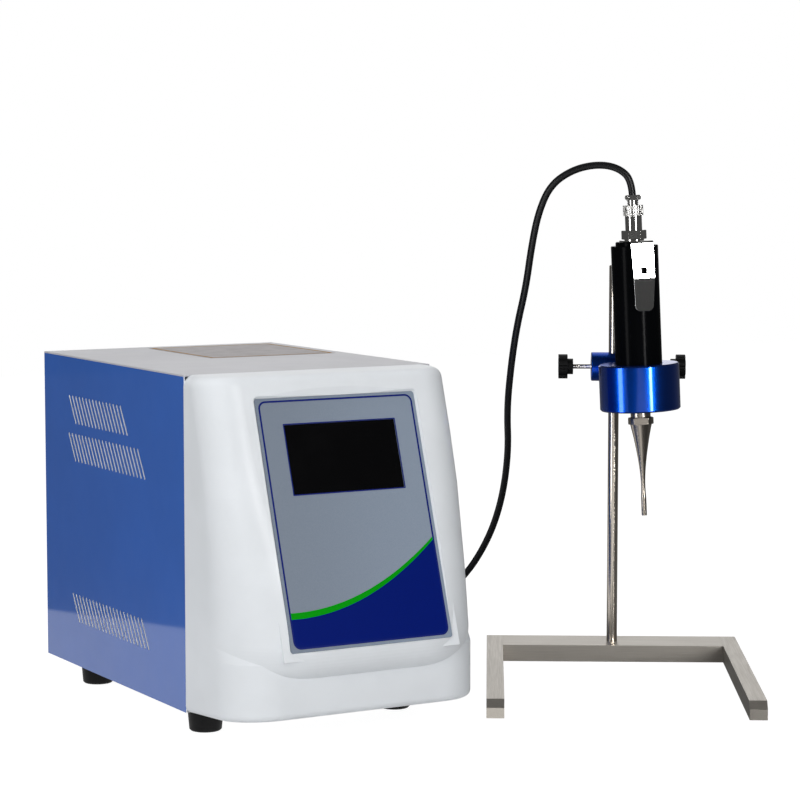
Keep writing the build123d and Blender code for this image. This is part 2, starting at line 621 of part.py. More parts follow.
def build_output():
    """Output socket on the rear panel, and the plug locked on it by its ring."""
    at = Pos(OUT_X, CASE_D, OUT_Z)
    nose_end = OUT_FLANGE_T + OUT_NOSE_L
    socket = block(-OUT_FLANGE / 2, OUT_FLANGE / 2, 0, OUT_FLANGE_T, -OUT_FLANGE / 2, OUT_FLANGE / 2)
    socket += along_y(OUT_NOSE_D, -16, nose_end)
    socket -= along_y(PLUG_SPIGOT_D + 0.2, nose_end - 10, nose_end + 1)
    socket += [along_y(PIN_D, nose_end - 11, nose_end - 3, x, z)
               for x, z in ((-3.5, 0), (3.5, 0), (0, 3.5), (0, -3.5))]
    corner = OUT_FLANGE / 2 - 4
    socket += [along_y(5, OUT_FLANGE_T, OUT_FLANGE_T + 1.8, sx * corner, sz * corner)
               for sx in (-1, 1) for sz in (-1, 1)]
    keep("output_socket", at * socket)
    ring_start = nose_end + 3.4 - PLUG_RING_L
    grip = fluted(PLUG_RING_D, PLUG_RING_L, 20, 1.2)
    ring = Pos(0, ring_start + PLUG_RING_L, 0) * Rot(90, 0, 0) * grip
    ring -= along_y(OUT_NOSE_D + 0.16, ring_start - 1, nose_end + 0.4)
    ring -= along_y(PLUG_SPIGOT_D + 0.16, ring_start, ring_start + PLUG_RING_L + 1)
    keep("plug_ring", at * ring)
    body_start = ring_start + PLUG_RING_L + FIT_GAP
    spigot = along_y(PLUG_SPIGOT_D, nose_end - 2.5, body_start)
    spigot -= [along_y(PIN_D + 0.4, nose_end - 3, nose_end - 2, x, z)
               for x, z in ((-3.5, 0), (3.5, 0), (0, 3.5), (0, -3.5))]
    body_end = body_start + PLUG_BODY_L
    keep("plug_body", at * (spigot + along_y(PLUG_BODY_D, body_start, body_end)))
    tail = turned([(0, 0), (PLUG_TAIL_D / 2, 0), (PLUG_TAIL_D / 2, 4), (LEAD_D / 2 + 0.9, PLUG_TAIL_L),
                   (0, PLUG_TAIL_L)])
    for i in range(3):
        z = 7 + 4 * i
        tail -= disc(PLUG_TAIL_D + 4, z, z + 1.2) - disc(LEAD_D + 1.2, z - 1, z + 3)
    keep("plug_strain_relief", at * Pos(0, body_end, 0) * Rot(-90, 0, 0) * tail)


def build_inside():
    """What stands on the base pan: transformer, power board and heat sink."""
    floor = CASE_BOTTOM + SHEET
    toroid = turned([(16, 0), (TRANSFORMER_D / 2 - 8, 0), (TRANSFORMER_D / 2, 8),
                     (TRANSFORMER_D / 2, TRANSFORMER_H - 8), (TRANSFORMER_D / 2 - 8, TRANSFORMER_H),
                     (16, TRANSFORMER_H)])
    at = Pos(TRANSFORMER_X, TRANSFORMER_Y, floor)
    toroid += disc(60, TRANSFORMER_H, TRANSFORMER_H + 2) + disc(8, 0, TRANSFORMER_H + 9)
    toroid += extrude(Pos(0, 0, TRANSFORMER_H + 2) * RegularPolygon(7.5, 6), 5)
    keep("mains_transformer", at * toroid)
    board = block(-BOARD_W / 2, BOARD_W / 2, -BOARD_D / 2, BOARD_D / 2,
                  STANDOFF_H, STANDOFF_H + BOARD_T)
    board += [Pos(sx * (BOARD_W / 2 - 8), sy * (BOARD_D / 2 - 8), 0) * disc(STANDOFF_D, 0, STANDOFF_H)
              for sx in (-1, 1) for sy in (-1, 1)]
    top = STANDOFF_H + BOARD_T
    board += [Pos(-38, -70 + 34 * i, 0) * disc(30, top, top + 45) for i in range(4)]
    board += [block(-5, 25, y, y + 16, top, top + 24) for y in (-80, -50)]
    board += [block(28, 52, -20, 20, top, top + 3)]
    board_y = REAR - BOARD_BEHIND - BOARD_D / 2
    keep("power_board", Pos(BOARD_X, board_y, floor) * board)
    coil = block(-24, 24, -OUTPUT_COIL / 2, OUTPUT_COIL / 2, 0, OUTPUT_COIL)
    coil -= block(-14, 14, -OUTPUT_COIL, OUTPUT_COIL, 10, OUTPUT_COIL - 10)
    coil += block(-6, 6, -OUTPUT_COIL / 2 + 3, OUTPUT_COIL / 2 - 3, 10, OUTPUT_COIL - 10)
    keep("output_transformer", Pos(BOARD_X + 25, board_y + 70, floor + top) * coil)
    sink = block(-20, -14, -HEATSINK_L / 2, HEATSINK_L / 2, 0, HEATSINK_H)
    for i in range(HEATSINK_FINS):
        z = 4 + i * (HEATSINK_H - 10) / (HEATSINK_FINS - 1)
        sink += block(-14, 20, -HEATSINK_L / 2, HEATSINK_L / 2, z, z + 2)
    keep("heat_sink", Pos(HEATSINK_X, REAR - HEATSINK_BEHIND - HEATSINK_L / 2, floor) * sink)


# Stand
def build_stand():
    """Square-bar base with its two arms, and the rod held by a screw from below."""
    rear = block(-BASE_W / 2 + ARM_W, BASE_W / 2 - ARM_W, -BACK_D / 2, BACK_D / 2, 0, BAR_H)
    rear -= disc(ROD_D, ROD_SEAT, BAR_H + 1)
    rear -= disc(ROD_SCREW_D + 0.4, -1, ROD_SEAT + 1)
    rear -= disc(ROD_SCREW_HEAD_D + 0.6, -1, ROD_SCREW_HEAD_H + 0.6)
    keep("base_rear_bar", STAND * rear)
    front = BACK_D / 2 - BASE_L
    profile = Polygon((BACK_D / 2, 0), (BACK_D / 2, BAR_H), (front + ARM_CHAMFER, BAR_H),
                      (front, BAR_H - ARM_CHAMFER), (front, 0), align=None)
    arm = extrude(Plane.YZ * profile, ARM_W / 2, both=True)
    for side, name in ((-1, "base_arm_left"), (1, "base_arm_right")):
        keep(name, STAND * Pos(side * (BASE_W - ARM_W) / 2, 0, 0) * arm)
    rod = disc(ROD_D, ROD_SEAT, ROD_TOP)
    rod = chamfer(rod.edges().filter_by(GeomType.CIRCLE), 0.8)
    rod -= disc(ROD_SCREW_D, ROD_SEAT - 1, ROD_SEAT + 20)
    keep("rod", STAND * rod)
    screw = disc(ROD_SCREW_HEAD_D, 0.6, ROD_SCREW_HEAD_H + 0.6)
    screw += disc(ROD_SCREW_D, ROD_SCREW_HEAD_H, ROD_SEAT + 18)
    screw -= extrude(RegularPolygon(2.6, 6), 3)
    keep("rod_screw", STAND * screw)


def thumb_screw(free, reach):
    """A lobed knob with its collar and screw; the head's foot is at X = 0, pointing -X."""
    knob = Pos(-KNOB_COLLAR_T, 0, 0) * Rot(0, -90, 0) * fluted(KNOB_D, KNOB_T, KNOB_LOBES, 3.4)
    knob += along_x(KNOB_COLLAR_D, -KNOB_COLLAR_T, 0)
    knob += along_x(SCREW_D, 0, free + reach)
    return knob


def build_clamp():
    """Round boss that slides on the rod, its two thumb screws and the holding ring."""
    boss = along_x(BOSS_D, -BOSS_LEFT, BOSS_RIGHT)
    boss = chamfer(boss.edges().filter_by(GeomType.CIRCLE), 0.8)
    boss -= disc(ROD_D + 2 * SLIDE_CLEAR, -BOSS_D, BOSS_D)
    boss -= along_y(STEM_D + 2 * SLIDE_CLEAR, -BOSS_D, BOSS_D, RING_X)
    boss -= along_x(SCREW_D + 2 * SCREW_CLEAR, -BOSS_LEFT - 1, 0)
    boss -= along_x(SCREW_D + 2 * SCREW_CLEAR, RING_X, BOSS_RIGHT + 1)
    at = STAND * Pos(0, 0, CLAMP_Z)
    keep("clamp_boss", at * boss)
    left_reach = BOSS_LEFT - ROD_D / 2 - SCREW_TIP_GAP
    keep("rod_thumb_screw", at * Pos(-BOSS_LEFT - SCREW_FREE, 0, 0)
         * thumb_screw(SCREW_FREE, left_reach))
    right_reach = BOSS_RIGHT - RING_X - STEM_D / 2 - SCREW_TIP_GAP
    keep("stem_thumb_screw", at * Pos(BOSS_RIGHT + RIGHT_SCREW_FREE, 0, 0) * Rot(0, 0, 180)
         * thumb_screw(RIGHT_SCREW_FREE, right_reach))


def build_ring():
    """Holding ring with its inner lip, and the stem that carries it."""
    top, bottom = RING_ABOVE, RING_ABOVE - RING_H
    bore = BARREL_D / 2 + BARREL_CLEAR
    rim = RING_D / 2
    ring = turned([(RING_LIP_D / 2, bottom), (rim - RING_EDGE, bottom), (rim, bottom + RING_EDGE),
                   (rim, top - RING_EDGE), (rim - RING_EDGE, top), (bore + 0.8, top),
                   (bore, top - 0.8), (bore, bottom + RING_LIP), (RING_LIP_D / 2, bottom + RING_LIP)])
    stem_start = rim - STEM_IN_RING
    ring -= along_y(STEM_D, stem_start, RING_D)
    keep("holding_ring", RING_AT * ring)
    stem = along_y(STEM_D, stem_start, STEM_TAIL - RING_Y)
    keep("ring_stem", RING_AT * chamfer(stem.edges().filter_by(GeomType.CIRCLE), 0.6))


# Handpiece
SEAT_Z = RING_ABOVE - RING_H + RING_LIP + BARREL_SEAT
CAP_TOP = BARREL_TOP + CAP_H
NUT_Z = CAP_TOP + CLIP_T + SOCKET_WASHER_H
SHELL_Z = NUT_Z + SOCKET_NUT_H
COUPLER_Z = SHELL_Z + SHELL_H + FIT_GAP
NECK_TOP = COUPLER_Z + COUPLER_H + NECK_H - 1.2


def build_barrel():
    """Black barrel of the handpiece with its end cap."""
    r = BARREL_D / 2
    inner = r - BARREL_WALL
    lip_z = BARREL_TOP - BARREL_LIP
    flange_z = lip_z - CAP_FLANGE_H
    barrel = turned([(FRONT_HOLE_D / 2, SEAT_Z), (r - 1, SEAT_Z), (r, SEAT_Z + 1),
                     (r, BARREL_TOP - 0.8), (r - 0.8, BARREL_TOP), (CAP_D / 2 + 0.1, BARREL_TOP),
                     (CAP_D / 2 + 0.1, lip_z), (inner, lip_z), (inner, SEAT_Z + 4),
                     (FRONT_HOLE_D / 2, SEAT_Z + 4)])
    keep("handpiece_barrel", RING_AT * barrel)
    cap = turned([(SOCKET_THREAD_D / 2, flange_z), (inner, flange_z), (inner, lip_z),
                  (CAP_D / 2, lip_z), (CAP_D / 2, CAP_TOP - 1), (CAP_D / 2 - 1, CAP_TOP),
                  (SOCKET_THREAD_D / 2, CAP_TOP)])
    keep("handpiece_cap", RING_AT * cap)


def build_clip():
    """Bent sheet-steel hanging clip, held under the socket's nut."""
    with BuildSketch(Plane.YZ) as strip:
        with BuildLine():
            FilletPolyline((14, CAP_TOP), (-CLIP_STAND, CAP_TOP), (-CLIP_KNEE, CLIP_KNEE_Z),
                           (-CLIP_END, CLIP_END_Z), radius=CLIP_BEND)
            offset(amount=CLIP_T, side=Side.RIGHT)
        make_face()
    clip = extrude(strip.sketch, CLIP_W / 2, both=True)
    clip &= extrude(Plane.XZ.offset(-40) * Pos(0, 0) * make_hull(
        [*(Pos(0, CAP_TOP + 4) * Rectangle(CLIP_W, 8)).edges(),
         *(Pos(0, CLIP_KNEE_Z) * Rectangle(CLIP_W - 2, 4)).edges(),
         *(Pos(-CLIP_FOOT_W / 2 + 6, CLIP_END_Z + 6) * Circle(6)).edges(),
         *(Pos(CLIP_FOOT_W / 2 - 6, CLIP_END_Z + 6) * Circle(6)).edges()]), 80)
    clip -= disc(SOCKET_THREAD_D, CAP_TOP - 1, CAP_TOP + CLIP_T + 1)
    clip -= Pos(0, -CLIP_KNEE, CLIP_HOLE_Z) * Box(CLIP_HOLE, 20, CLIP_HOLE)
    keep("hanging_clip", RING_AT * Rot(0, 0, CLIP_TURN) * clip)


def build_connector():
    """Socket in the cap, coupling ring, plug neck and the saddle on the lead."""
    thread_foot = BARREL_TOP - BARREL_LIP - CAP_FLANGE_H - 4
    socket = disc(SOCKET_THREAD_D, thread_foot, SHELL_Z) + disc(SHELL_D, SHELL_Z, SHELL_Z + SHELL_H)
    socket += disc(SOCKET_THREAD_D + 5, thread_foot, thread_foot + 4)
    keep("handpiece_socket", RING_AT * socket)
    hexagon = RegularPolygon(SOCKET_NUT_AF / 2, 6, major_radius=False)
    nut = extrude(Pos(0, 0, NUT_Z) * hexagon, SOCKET_NUT_H)
    nut &= turned([(0, NUT_Z), (SOCKET_NUT_AF * 0.52, NUT_Z), (SOCKET_NUT_AF, NUT_Z + 3),
                   (SOCKET_NUT_AF, NUT_Z + SOCKET_NUT_H - 3), (SOCKET_NUT_AF * 0.52, NUT_Z + SOCKET_NUT_H),
                   (0, NUT_Z + SOCKET_NUT_H)])
    nut -= disc(SOCKET_THREAD_D, NUT_Z - 1, SHELL_Z + 1)
    washer = disc(SOCKET_WASHER_D, NUT_Z - SOCKET_WASHER_H, NUT_Z, SOCKET_THREAD_D)
    keep("socket_nut", RING_AT * (nut + washer))
    coupler = Pos(0, 0, COUPLER_Z) * fluted(COUPLER_D, COUPLER_H, COUPLER_FLUTES, 0.7)
    coupler -= disc(NECK_D + 0.16, COUPLER_Z - 1, COUPLER_Z + COUPLER_H + 1)
    keep("coupling_ring", RING_AT * coupler)
    saddle_z = NECK_TOP + SADDLE_H / 2
    neck = disc(NECK_D, COUPLER_Z - FIT_GAP, NECK_TOP)
    for i in range(2):
        z = COUPLER_Z + COUPLER_H + 1 + 2.2 * i
        neck -= disc(NECK_D + 4, z, z + 0.9) - disc(NECK_D - 1.4, z - 1, z + 2)
    half = Pos(0, SADDLE_D / 4 + 0.1, saddle_z) * Box(SADDLE_W, SADDLE_D / 2 - 0.2, SADDLE_H)
    half = fillet(half.edges().filter_by(Axis.Y), 2.0)
    half -= disc(LEAD_D + 0.3, NECK_TOP, NECK_TOP + SADDLE_H + 1)
    half -= [Pos(sx * (SADDLE_W / 2 - 2.1), 0, saddle_z) * Rot(90, 0, 0)
             * Cylinder(SADDLE_SCREW_D / 2, SADDLE_D * 2) for sx in (-1, 1)]
    keep("plug_neck", RING_AT * (neck + half))
    bar = Rot(0, 0, 180) * half
    for sx in (-1, 1):
        screw = along_y(SADDLE_SCREW_D, -SADDLE_D / 2, SADDLE_D / 2)
        screw += along_y(4.6, -SADDLE_D / 2 - 1.8, -SADDLE_D / 2)
        screw -= Pos(0, -SADDLE_D / 2 - 1.8, 0) * Box(6, 1.2, 0.8)
        bar += Pos(sx * (SADDLE_W / 2 - 2.1), 0, saddle_z) * screw
    keep("saddle_bar", RING_AT * bar)


def build_stack():
    """The vibrating stack: driver with its flange, ceramics, electrodes, rear mass, bolt."""
    flange_top = DRIVER_FLANGE_Z + DRIVER_FLANGE_T
    driver_top = DRIVER_END_Z + DRIVER_L
    inner = BARREL_D - 2 * BARREL_WALL
    driver = disc(DRIVER_D, DRIVER_END_Z, driver_top) + disc(inner, DRIVER_FLANGE_Z, flange_top)
    driver += disc(PIEZO_D, driver_top - 16, driver_top)
    driver -= disc(BOLT_D, driver_top - 14, driver_top + 1)
    driver -= disc(HORN_STUD_D + 2 * STUD_CLEAR, DRIVER_END_Z - 1, DRIVER_END_Z + HORN_STUD_L + 1)
    keep("stack_driver", RING_AT * driver)
    z = driver_top
    ceramics = disc(PIEZO_D, z, z + PIEZO_T, PIEZO_BORE)
    for _ in range(1, PIEZO_COUNT):
        z += PIEZO_T
        ceramics += disc(PIEZO_D, z, z + ELECTRODE_T, PIEZO_BORE)
        ceramics += block(PIEZO_D / 2 - 3, PIEZO_D / 2 + 3, -2, 2, z, z + ELECTRODE_T)
        z += ELECTRODE_T
        ceramics += disc(PIEZO_D, z, z + PIEZO_T, PIEZO_BORE)
    z += PIEZO_T
    keep("piezo_stack", RING_AT * ceramics)
    mass_top = z + REAR_MASS_H
    keep("rear_mass", RING_AT * disc(REAR_MASS_D, z, mass_top, BOLT_D))
    bolt = disc(BOLT_D, driver_top - 12, mass_top) + disc(BOLT_D + 6, mass_top, mass_top + 9)
    bolt -= extrude(Pos(0, 0, mass_top + 4) * RegularPolygon(4, 6), 6)
    keep("stack_bolt", RING_AT * bolt)


def build_horn():
    """Stepped horn: threaded neck, collar with spanner flats, long taper and tip."""
    top = DRIVER_END_Z - FIT_GAP
    with BuildPart() as part:
        with BuildSketch(Plane.XZ):
            with BuildLine():
                taper = Spline((HORN_SHOULDER_D / 2, HORN_COLLAR_END),
                               *[(r, z) for z, r in HORN_PROFILE], (HORN_TIP_D / 2, HORN_TIP_TOP))
                Polyline(taper @ 1, (HORN_TIP_D / 2, HORN_TIP_END), (0, HORN_TIP_END), (0, top),
                         (HORN_NECK_D / 2, top), (HORN_NECK_D / 2, HORN_NECK_END),
                         (HORN_COLLAR_D / 2, HORN_NECK_END - 1),
                         (HORN_COLLAR_D / 2, HORN_COLLAR_END), taper @ 0)
            make_face()
        revolve(axis=Axis.Z)
    horn = part.part
    for side in (-1, 1):
        horn -= Pos(0, side * (HORN_FLATS + 10) / 2, (HORN_NECK_END + HORN_COLLAR_END) / 2) * Box(
            HORN_COLLAR_D, 10, HORN_NECK_END - HORN_COLLAR_END)
    horn += disc(HORN_STUD_D, top - 1, DRIVER_END_Z + HORN_STUD_L)
    keep("horn", RING_AT * horn)


# Lead
def lead_tube(name, points):
    """A round lead along a route: straight runs joined by arcs as large as they allow."""
    route = [Vector(*p) for p in points]
    radii = []
    for before, corner, after in zip(route, route[1:], route[2:]):
        turn = math.radians((corner - before).get_angle(after - corner))
        shorter = min((corner - before).length, (after - corner).length)
        radii.append(0.45 * shorter / math.tan(turn / 2))
    path = FilletPolyline(*route, radius=radii)
    start = Plane(origin=route[0], z_dir=route[1] - route[0])
    tube = sweep(start * Circle(LEAD_D / 2), path=path)
    expected = math.pi * LEAD_D ** 2 / 4 * path.length
    print(name, "length", round(path.length, 1), "radii", [round(r) for r in radii],
          "volume ratio", round(tube.volume / expected, 4))
    keep(name, tube)


def build_lead():
    """The lead in three lengths, end to end."""
    lead_tube("lead_upper", LEAD_UPPER)
    lead_tube("lead_middle", LEAD_MIDDLE)
    lead_tube("lead_lower", LEAD_LOWER)


CORD_PIECES = ("lead_upper", "lead_middle", "lead_lower", "plug_body", "plug_ring", "plug_strain_relief")


def main():
    """Build every piece, set the origin under the middle of the set, write the files."""
    for build in (build_case, build_feet, build_bezel, build_panel, build_fan, build_inlet,
                  build_switch, build_fuse, build_output, build_inside, build_stand, build_clamp,
                  build_ring, build_barrel, build_clip, build_connector, build_stack, build_horn,
                  build_lead):
        build()
    boxes = [shape.bounding_box() for name, shape in PARTS.items() if name not in CORD_PIECES]
    mid_x = (min(b.min.X for b in boxes) + max(b.max.X for b in boxes)) / 2
    mid_y = (min(b.min.Y for b in boxes) + max(b.max.Y for b in boxes)) / 2
    print("origin under", round(mid_x, 3), round(mid_y, 3), "pieces", len(PARTS))
    os.makedirs("parts", exist_ok=True)
    for name, shape in PARTS.items():
        export_step(Pos(-mid_x, -mid_y, 0) * shape, f"parts/{name}.step")


main()
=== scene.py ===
"""Ultrasonic homogeniser: bench generator, stand, hand-held sonicator and its lead."""
import logging
import math
from dataclasses import dataclass
from enum import Enum
from typing import Iterable, Sequence, Union

import bmesh
import bpy
from mathutils import Euler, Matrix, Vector


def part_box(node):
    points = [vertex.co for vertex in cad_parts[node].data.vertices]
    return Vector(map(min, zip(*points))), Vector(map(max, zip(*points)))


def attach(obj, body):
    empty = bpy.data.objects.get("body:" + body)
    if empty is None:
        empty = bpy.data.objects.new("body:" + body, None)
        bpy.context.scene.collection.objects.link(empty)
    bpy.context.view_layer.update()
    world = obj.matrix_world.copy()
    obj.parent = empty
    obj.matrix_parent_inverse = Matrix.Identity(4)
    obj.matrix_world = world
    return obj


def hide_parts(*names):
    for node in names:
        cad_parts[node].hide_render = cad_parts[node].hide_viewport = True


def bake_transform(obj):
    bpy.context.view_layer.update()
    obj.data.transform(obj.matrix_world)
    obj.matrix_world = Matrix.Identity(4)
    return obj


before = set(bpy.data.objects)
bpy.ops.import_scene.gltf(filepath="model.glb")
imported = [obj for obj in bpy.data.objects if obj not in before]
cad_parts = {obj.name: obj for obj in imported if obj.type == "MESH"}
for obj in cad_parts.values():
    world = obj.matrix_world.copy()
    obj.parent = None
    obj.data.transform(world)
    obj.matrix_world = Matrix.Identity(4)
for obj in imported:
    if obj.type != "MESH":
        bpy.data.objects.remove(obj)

LOG = logging.getLogger("homogeniser")

Colour = tuple[float, float, float]
Feed = Union[float, Colour, bpy.types.NodeSocket]
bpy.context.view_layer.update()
MM = 0.001


# Places
@dataclass(frozen=True)
class Spot:
    """A place and a turn on the part, in metres and degrees."""

    at: tuple[float, float, float] = (0.0, 0.0, 0.0)
    turn: tuple[float, float, float] = (0.0, 0.0, 0.0)

    def point(self, x: float, y: float, z: float) -> Vector:
        """Carries a local point, in millimetres, into the frame.

        Args:
            x: Local X in millimetres.
            y: Local Y in millimetres.
            z: Local Z in millimetres.

        Returns:
            The point in the frame, in metres.
        """
        rotation = Euler([math.radians(a) for a in self.turn], "XYZ").to_matrix()
        return Vector(self.at) + rotation @ (Vector((x, y, z)) * MM)


class Layout:
    """Where the generator and the stand are, read from the frame itself."""

    def __init__(self) -> None:
        """Reads the lid's corner, from which every drawn size is measured."""
        low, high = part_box("lid_panel")
        self.corner = Vector(((low.x + high.x) / 2, low.y, 0.0))
        self.case_half = (high.x - low.x) / 2
        self.case_depth = (high.y - low.y) / MM

    def point(self, x: float, y: float, z: float) -> Vector:
        """Gives the frame point of a drawn point.

        Args:
            x: Millimetres to the right of the generator's middle.
            y: Millimetres behind the front of its case.
            z: Millimetres above the bench.

        Returns:
            The point in the frame, in metres.
        """
        return self.corner + Vector((x, y, z)) * MM

    def spot(self, x: float, y: float, z: float,
             turn: tuple[float, float, float] = (0.0, 0.0, 0.0)) -> Spot:
        """Makes a turned place from a drawn point.

        Args:
            x: Millimetres to the right of the generator's middle.
            y: Millimetres behind the front of its case.
            z: Millimetres above the bench.
            turn: Rotation in degrees about X, Y and Z.

        Returns:
            The place.
        """
        return Spot(tuple(self.point(x, y, z)), turn)


LAYOUT = Layout()
PANEL_LEAN = 18.3
PANEL_FOOT = (0.0, -132.4, 101.0)
STAND_YAW = -31.7
STAND_FOOT = (462.9, 132.4, 0.0)
CLAMP_HEIGHT = 337.0
RING_LEAN = 2.6
RING_SIDE = 25.0
RING_AHEAD = 66.0
PANEL = LAYOUT.spot(*PANEL_FOOT, (90 - PANEL_LEAN, 0, 0))
STAND = LAYOUT.spot(*STAND_FOOT, (0, 0, STAND_YAW))
GRIP = Spot(tuple(STAND.point(RING_SIDE, -RING_AHEAD, CLAMP_HEIGHT)), (0, -RING_LEAN, STAND_YAW))
BOSS = Spot(tuple(STAND.point(0, 0, CLAMP_HEIGHT)), (0, 0, STAND_YAW))


class Axis(Enum):
    """One of the three directions of a local frame."""

    X = 0
    Y = 1
    Z = 2


# Materials
def linear(colour: Colour) -> tuple[float, float, float, float]:
    """Turns a screen colour into the light it stands for.

    Args:
        colour: Red, green and blue from 0 to 255.

    Returns:
        Linear red, green and blue from 0 to 1, and alpha.
    """
    parts = [c / 255 for c in colour]
    parts = [c / 12.92 if c <= 0.04045 else ((c + 0.055) / 1.055) ** 2.4 for c in parts]
    return (*parts, 1.0)


class Graph:
    """The node tree of one material, with short calls for what the finishes share."""

    def __init__(self, name: str) -> None:
        """Starts a material with a bare surface shader.

        Args:
            name: The material's name.
        """
        self.material = bpy.data.materials.new(name)
        self.material.use_nodes = True
        self.nodes = self.material.node_tree.nodes
        self.links = self.material.node_tree.links
        self.nodes.clear()
        self.shader = self.nodes.new("ShaderNodeBsdfPrincipled")
        output = self.nodes.new("ShaderNodeOutputMaterial")
        self.links.new(self.shader.outputs["BSDF"], output.inputs["Surface"])
        self.where = self.nodes.new("ShaderNodeTexCoord").outputs["Object"]

    def feed(self, socket: bpy.types.NodeSocket, value: Feed) -> None:
        """Sets a socket to a number or colour, or links it to another socket.

        Args:
            socket: The input socket.
            value: A number, a screen colour or an output socket.
        """
        if isinstance(value, bpy.types.NodeSocket):
            self.links.new(value, socket)
        elif isinstance(value, tuple) and socket.type == "RGBA":
            socket.default_value = linear(value)
        else:
            socket.default_value = value

    def put(self, **values: Feed) -> None:
        """Sets the shader's own sockets, named with underscores for spaces."""
        for name, value in values.items():
            self.feed(self.shader.inputs[name.replace("_", " ")], value)

    def math(self, operation: str, first: Feed, second: Feed = 0.0) -> bpy.types.NodeSocket:
        """Adds a sum of two values.

        Args:
            operation: The math node's operation.
            first: First value.
            second: Second value.

        Returns:
            The result's socket.
        """
        node = self.nodes.new("ShaderNodeMath")
        node.operation = operation
        self.feed(node.inputs[0], first)
        self.feed(node.inputs[1], second)
        return node.outputs[0]

    def mix(self, share: Feed, first: Feed, second: Feed) -> bpy.types.NodeSocket:
        """Mixes two colours.

        Args:
            share: Share of the second colour, from 0 to 1.
            first: First colour.
            second: Second colour.

        Returns:
            The mixed colour's socket.
        """
        node = self.nodes.new("ShaderNodeMix")
        node.data_type = "RGBA"
        self.feed(node.inputs[0], share)
        self.feed(node.inputs[6], first)
        self.feed(node.inputs[7], second)
        return node.outputs[2]

    def span(self, value: Feed, low: float, high: float, out_low: float = 0.0,
             out_high: float = 1.0) -> bpy.types.NodeSocket:
        """Maps a value smoothly from one range to another.

        Args:
            value: The value's socket.
            low: Start of its range.
            high: End of its range.
            out_low: Result at the start.
            out_high: Result at the end.

        Returns:
            The result's socket.
        """
        node = self.nodes.new("ShaderNodeMapRange")
        node.interpolation_type = "SMOOTHSTEP"
        for socket, number in zip(node.inputs, (value, low, high, out_low, out_high)):
            self.feed(socket, number)
        return node.outputs[0]

    def local(self, spot: Spot = Spot(),
              stretch: tuple[float, float, float] = (1, 1, 1)) -> bpy.types.NodeSocket:
        """Gives object coordinates seen from a turned place.

        Args:
            spot: The place and its turn.
            stretch: How far a pattern is drawn out along each local axis.

        Returns:
            The vector's socket, in metres.
        """
        node = self.nodes.new("ShaderNodeMapping")
        node.vector_type = "TEXTURE"
        self.links.new(self.where, node.inputs["Vector"])
        node.inputs["Location"].default_value = spot.at
        node.inputs["Rotation"].default_value = [math.radians(a) for a in spot.turn]
        node.inputs["Scale"].default_value = stretch
        return node.outputs["Vector"]

    def part(self, vector: bpy.types.NodeSocket, axis: Axis) -> bpy.types.NodeSocket:
        """Takes one number of a vector.

        Args:
            vector: The vector's socket.
            axis: Which of its three numbers.

        Returns:
            The number's socket.
        """
        node = self.nodes.new("ShaderNodeSeparateXYZ")
        self.links.new(vector, node.inputs[0])
        return node.outputs[axis.value]

    def noise(self, scale: float, detail: float = 2.0, vector: bpy.types.NodeSocket | None = None,
              roughness: float = 0.5) -> bpy.types.NodeSocket:
        """Adds a noise pattern.

        Args:
            scale: Lumps per metre.
            detail: Finer octaves on top.
            vector: Coordinates, or none for the object's own.
            roughness: Weight of the finer octaves.

        Returns:
            The noise's value, about 0.5 on average.
        """
        node = self.nodes.new("ShaderNodeTexNoise")
        self.links.new(vector or self.where, node.inputs["Vector"])
        node.inputs["Scale"].default_value = scale
        node.inputs["Detail"].default_value = detail
        node.inputs["Roughness"].default_value = roughness
        return node.outputs[0]

    def cells(self, scale: float, vector: bpy.types.NodeSocket | None = None) -> bpy.types.NodeSocket:
        """Adds a pattern of cells, each with a random colour.

        Args:
            scale: Cells per metre.
            vector: Coordinates, or none for the object's own.

        Returns:
            The cell colour's socket.
        """
        node = self.nodes.new("ShaderNodeTexVoronoi")
        self.links.new(vector or self.where, node.inputs["Vector"])
        node.inputs["Scale"].default_value = scale
        return node.outputs["Color"]

    def bump(self, height: Feed, depth: float,
             below: bpy.types.NodeSocket | None = None) -> bpy.types.NodeSocket:
        """Raises the surface by a height pattern.

        Args:
            height: The pattern, from 0 to 1.
            depth: The height that 1 stands for, in metres.
            below: A normal to work on, such as another bump.

        Returns:
            The normal's socket.
        """
        node = self.nodes.new("ShaderNodeBump")
        node.inputs["Distance"].default_value = depth
        node.inputs["Strength"].default_value = 1.0
        self.feed(node.inputs["Height"], height)
        if below is not None:
            self.links.new(below, node.inputs["Normal"])
        return node.outputs["Normal"]

    def rounded(self, radius: float) -> bpy.types.NodeSocket:
        """Softens hard edges within a radius in metres and gives the normal's socket."""
        node = self.nodes.new("ShaderNodeBevel")
        node.samples = 6
        node.inputs["Radius"].default_value = radius
        return node.outputs["Normal"]


@dataclass(frozen=True)
class Finish:
    """What every finish has: a name, a colour, a roughness and a share of gloss."""

    name: str
    colour: Colour
    roughness: float = 0.4
    gloss: float = 0.25

    def dress(self, graph: Graph) -> None:
        """Adds this finish's own nodes.

        Args:
            graph: The material's node tree.
        """
        mottled = graph.mix(graph.span(graph.noise(60, 3), 0.35, 0.65), self.colour,
                            shade(self.colour, 0.93))
        graph.put(Base_Color=mottled, Roughness=self.roughness)

    def material(self) -> bpy.types.Material:
        """Returns the material, made on its first use."""
        known = bpy.data.materials.get(self.name)
        if known is not None:
            return known
        graph = Graph(self.name)
        graph.shader.inputs["Specular IOR Level"].default_value = self.gloss
        self.dress(graph)
        return graph.material


def shade(colour: Colour, factor: float) -> Colour:
    """Makes a colour darker or lighter.

    Args:
        colour: Red, green and blue from 0 to 255.
        factor: Factor on each of them.

    Returns:
        The new colour.
    """
    return tuple(min(255.0, c * factor) for c in colour)


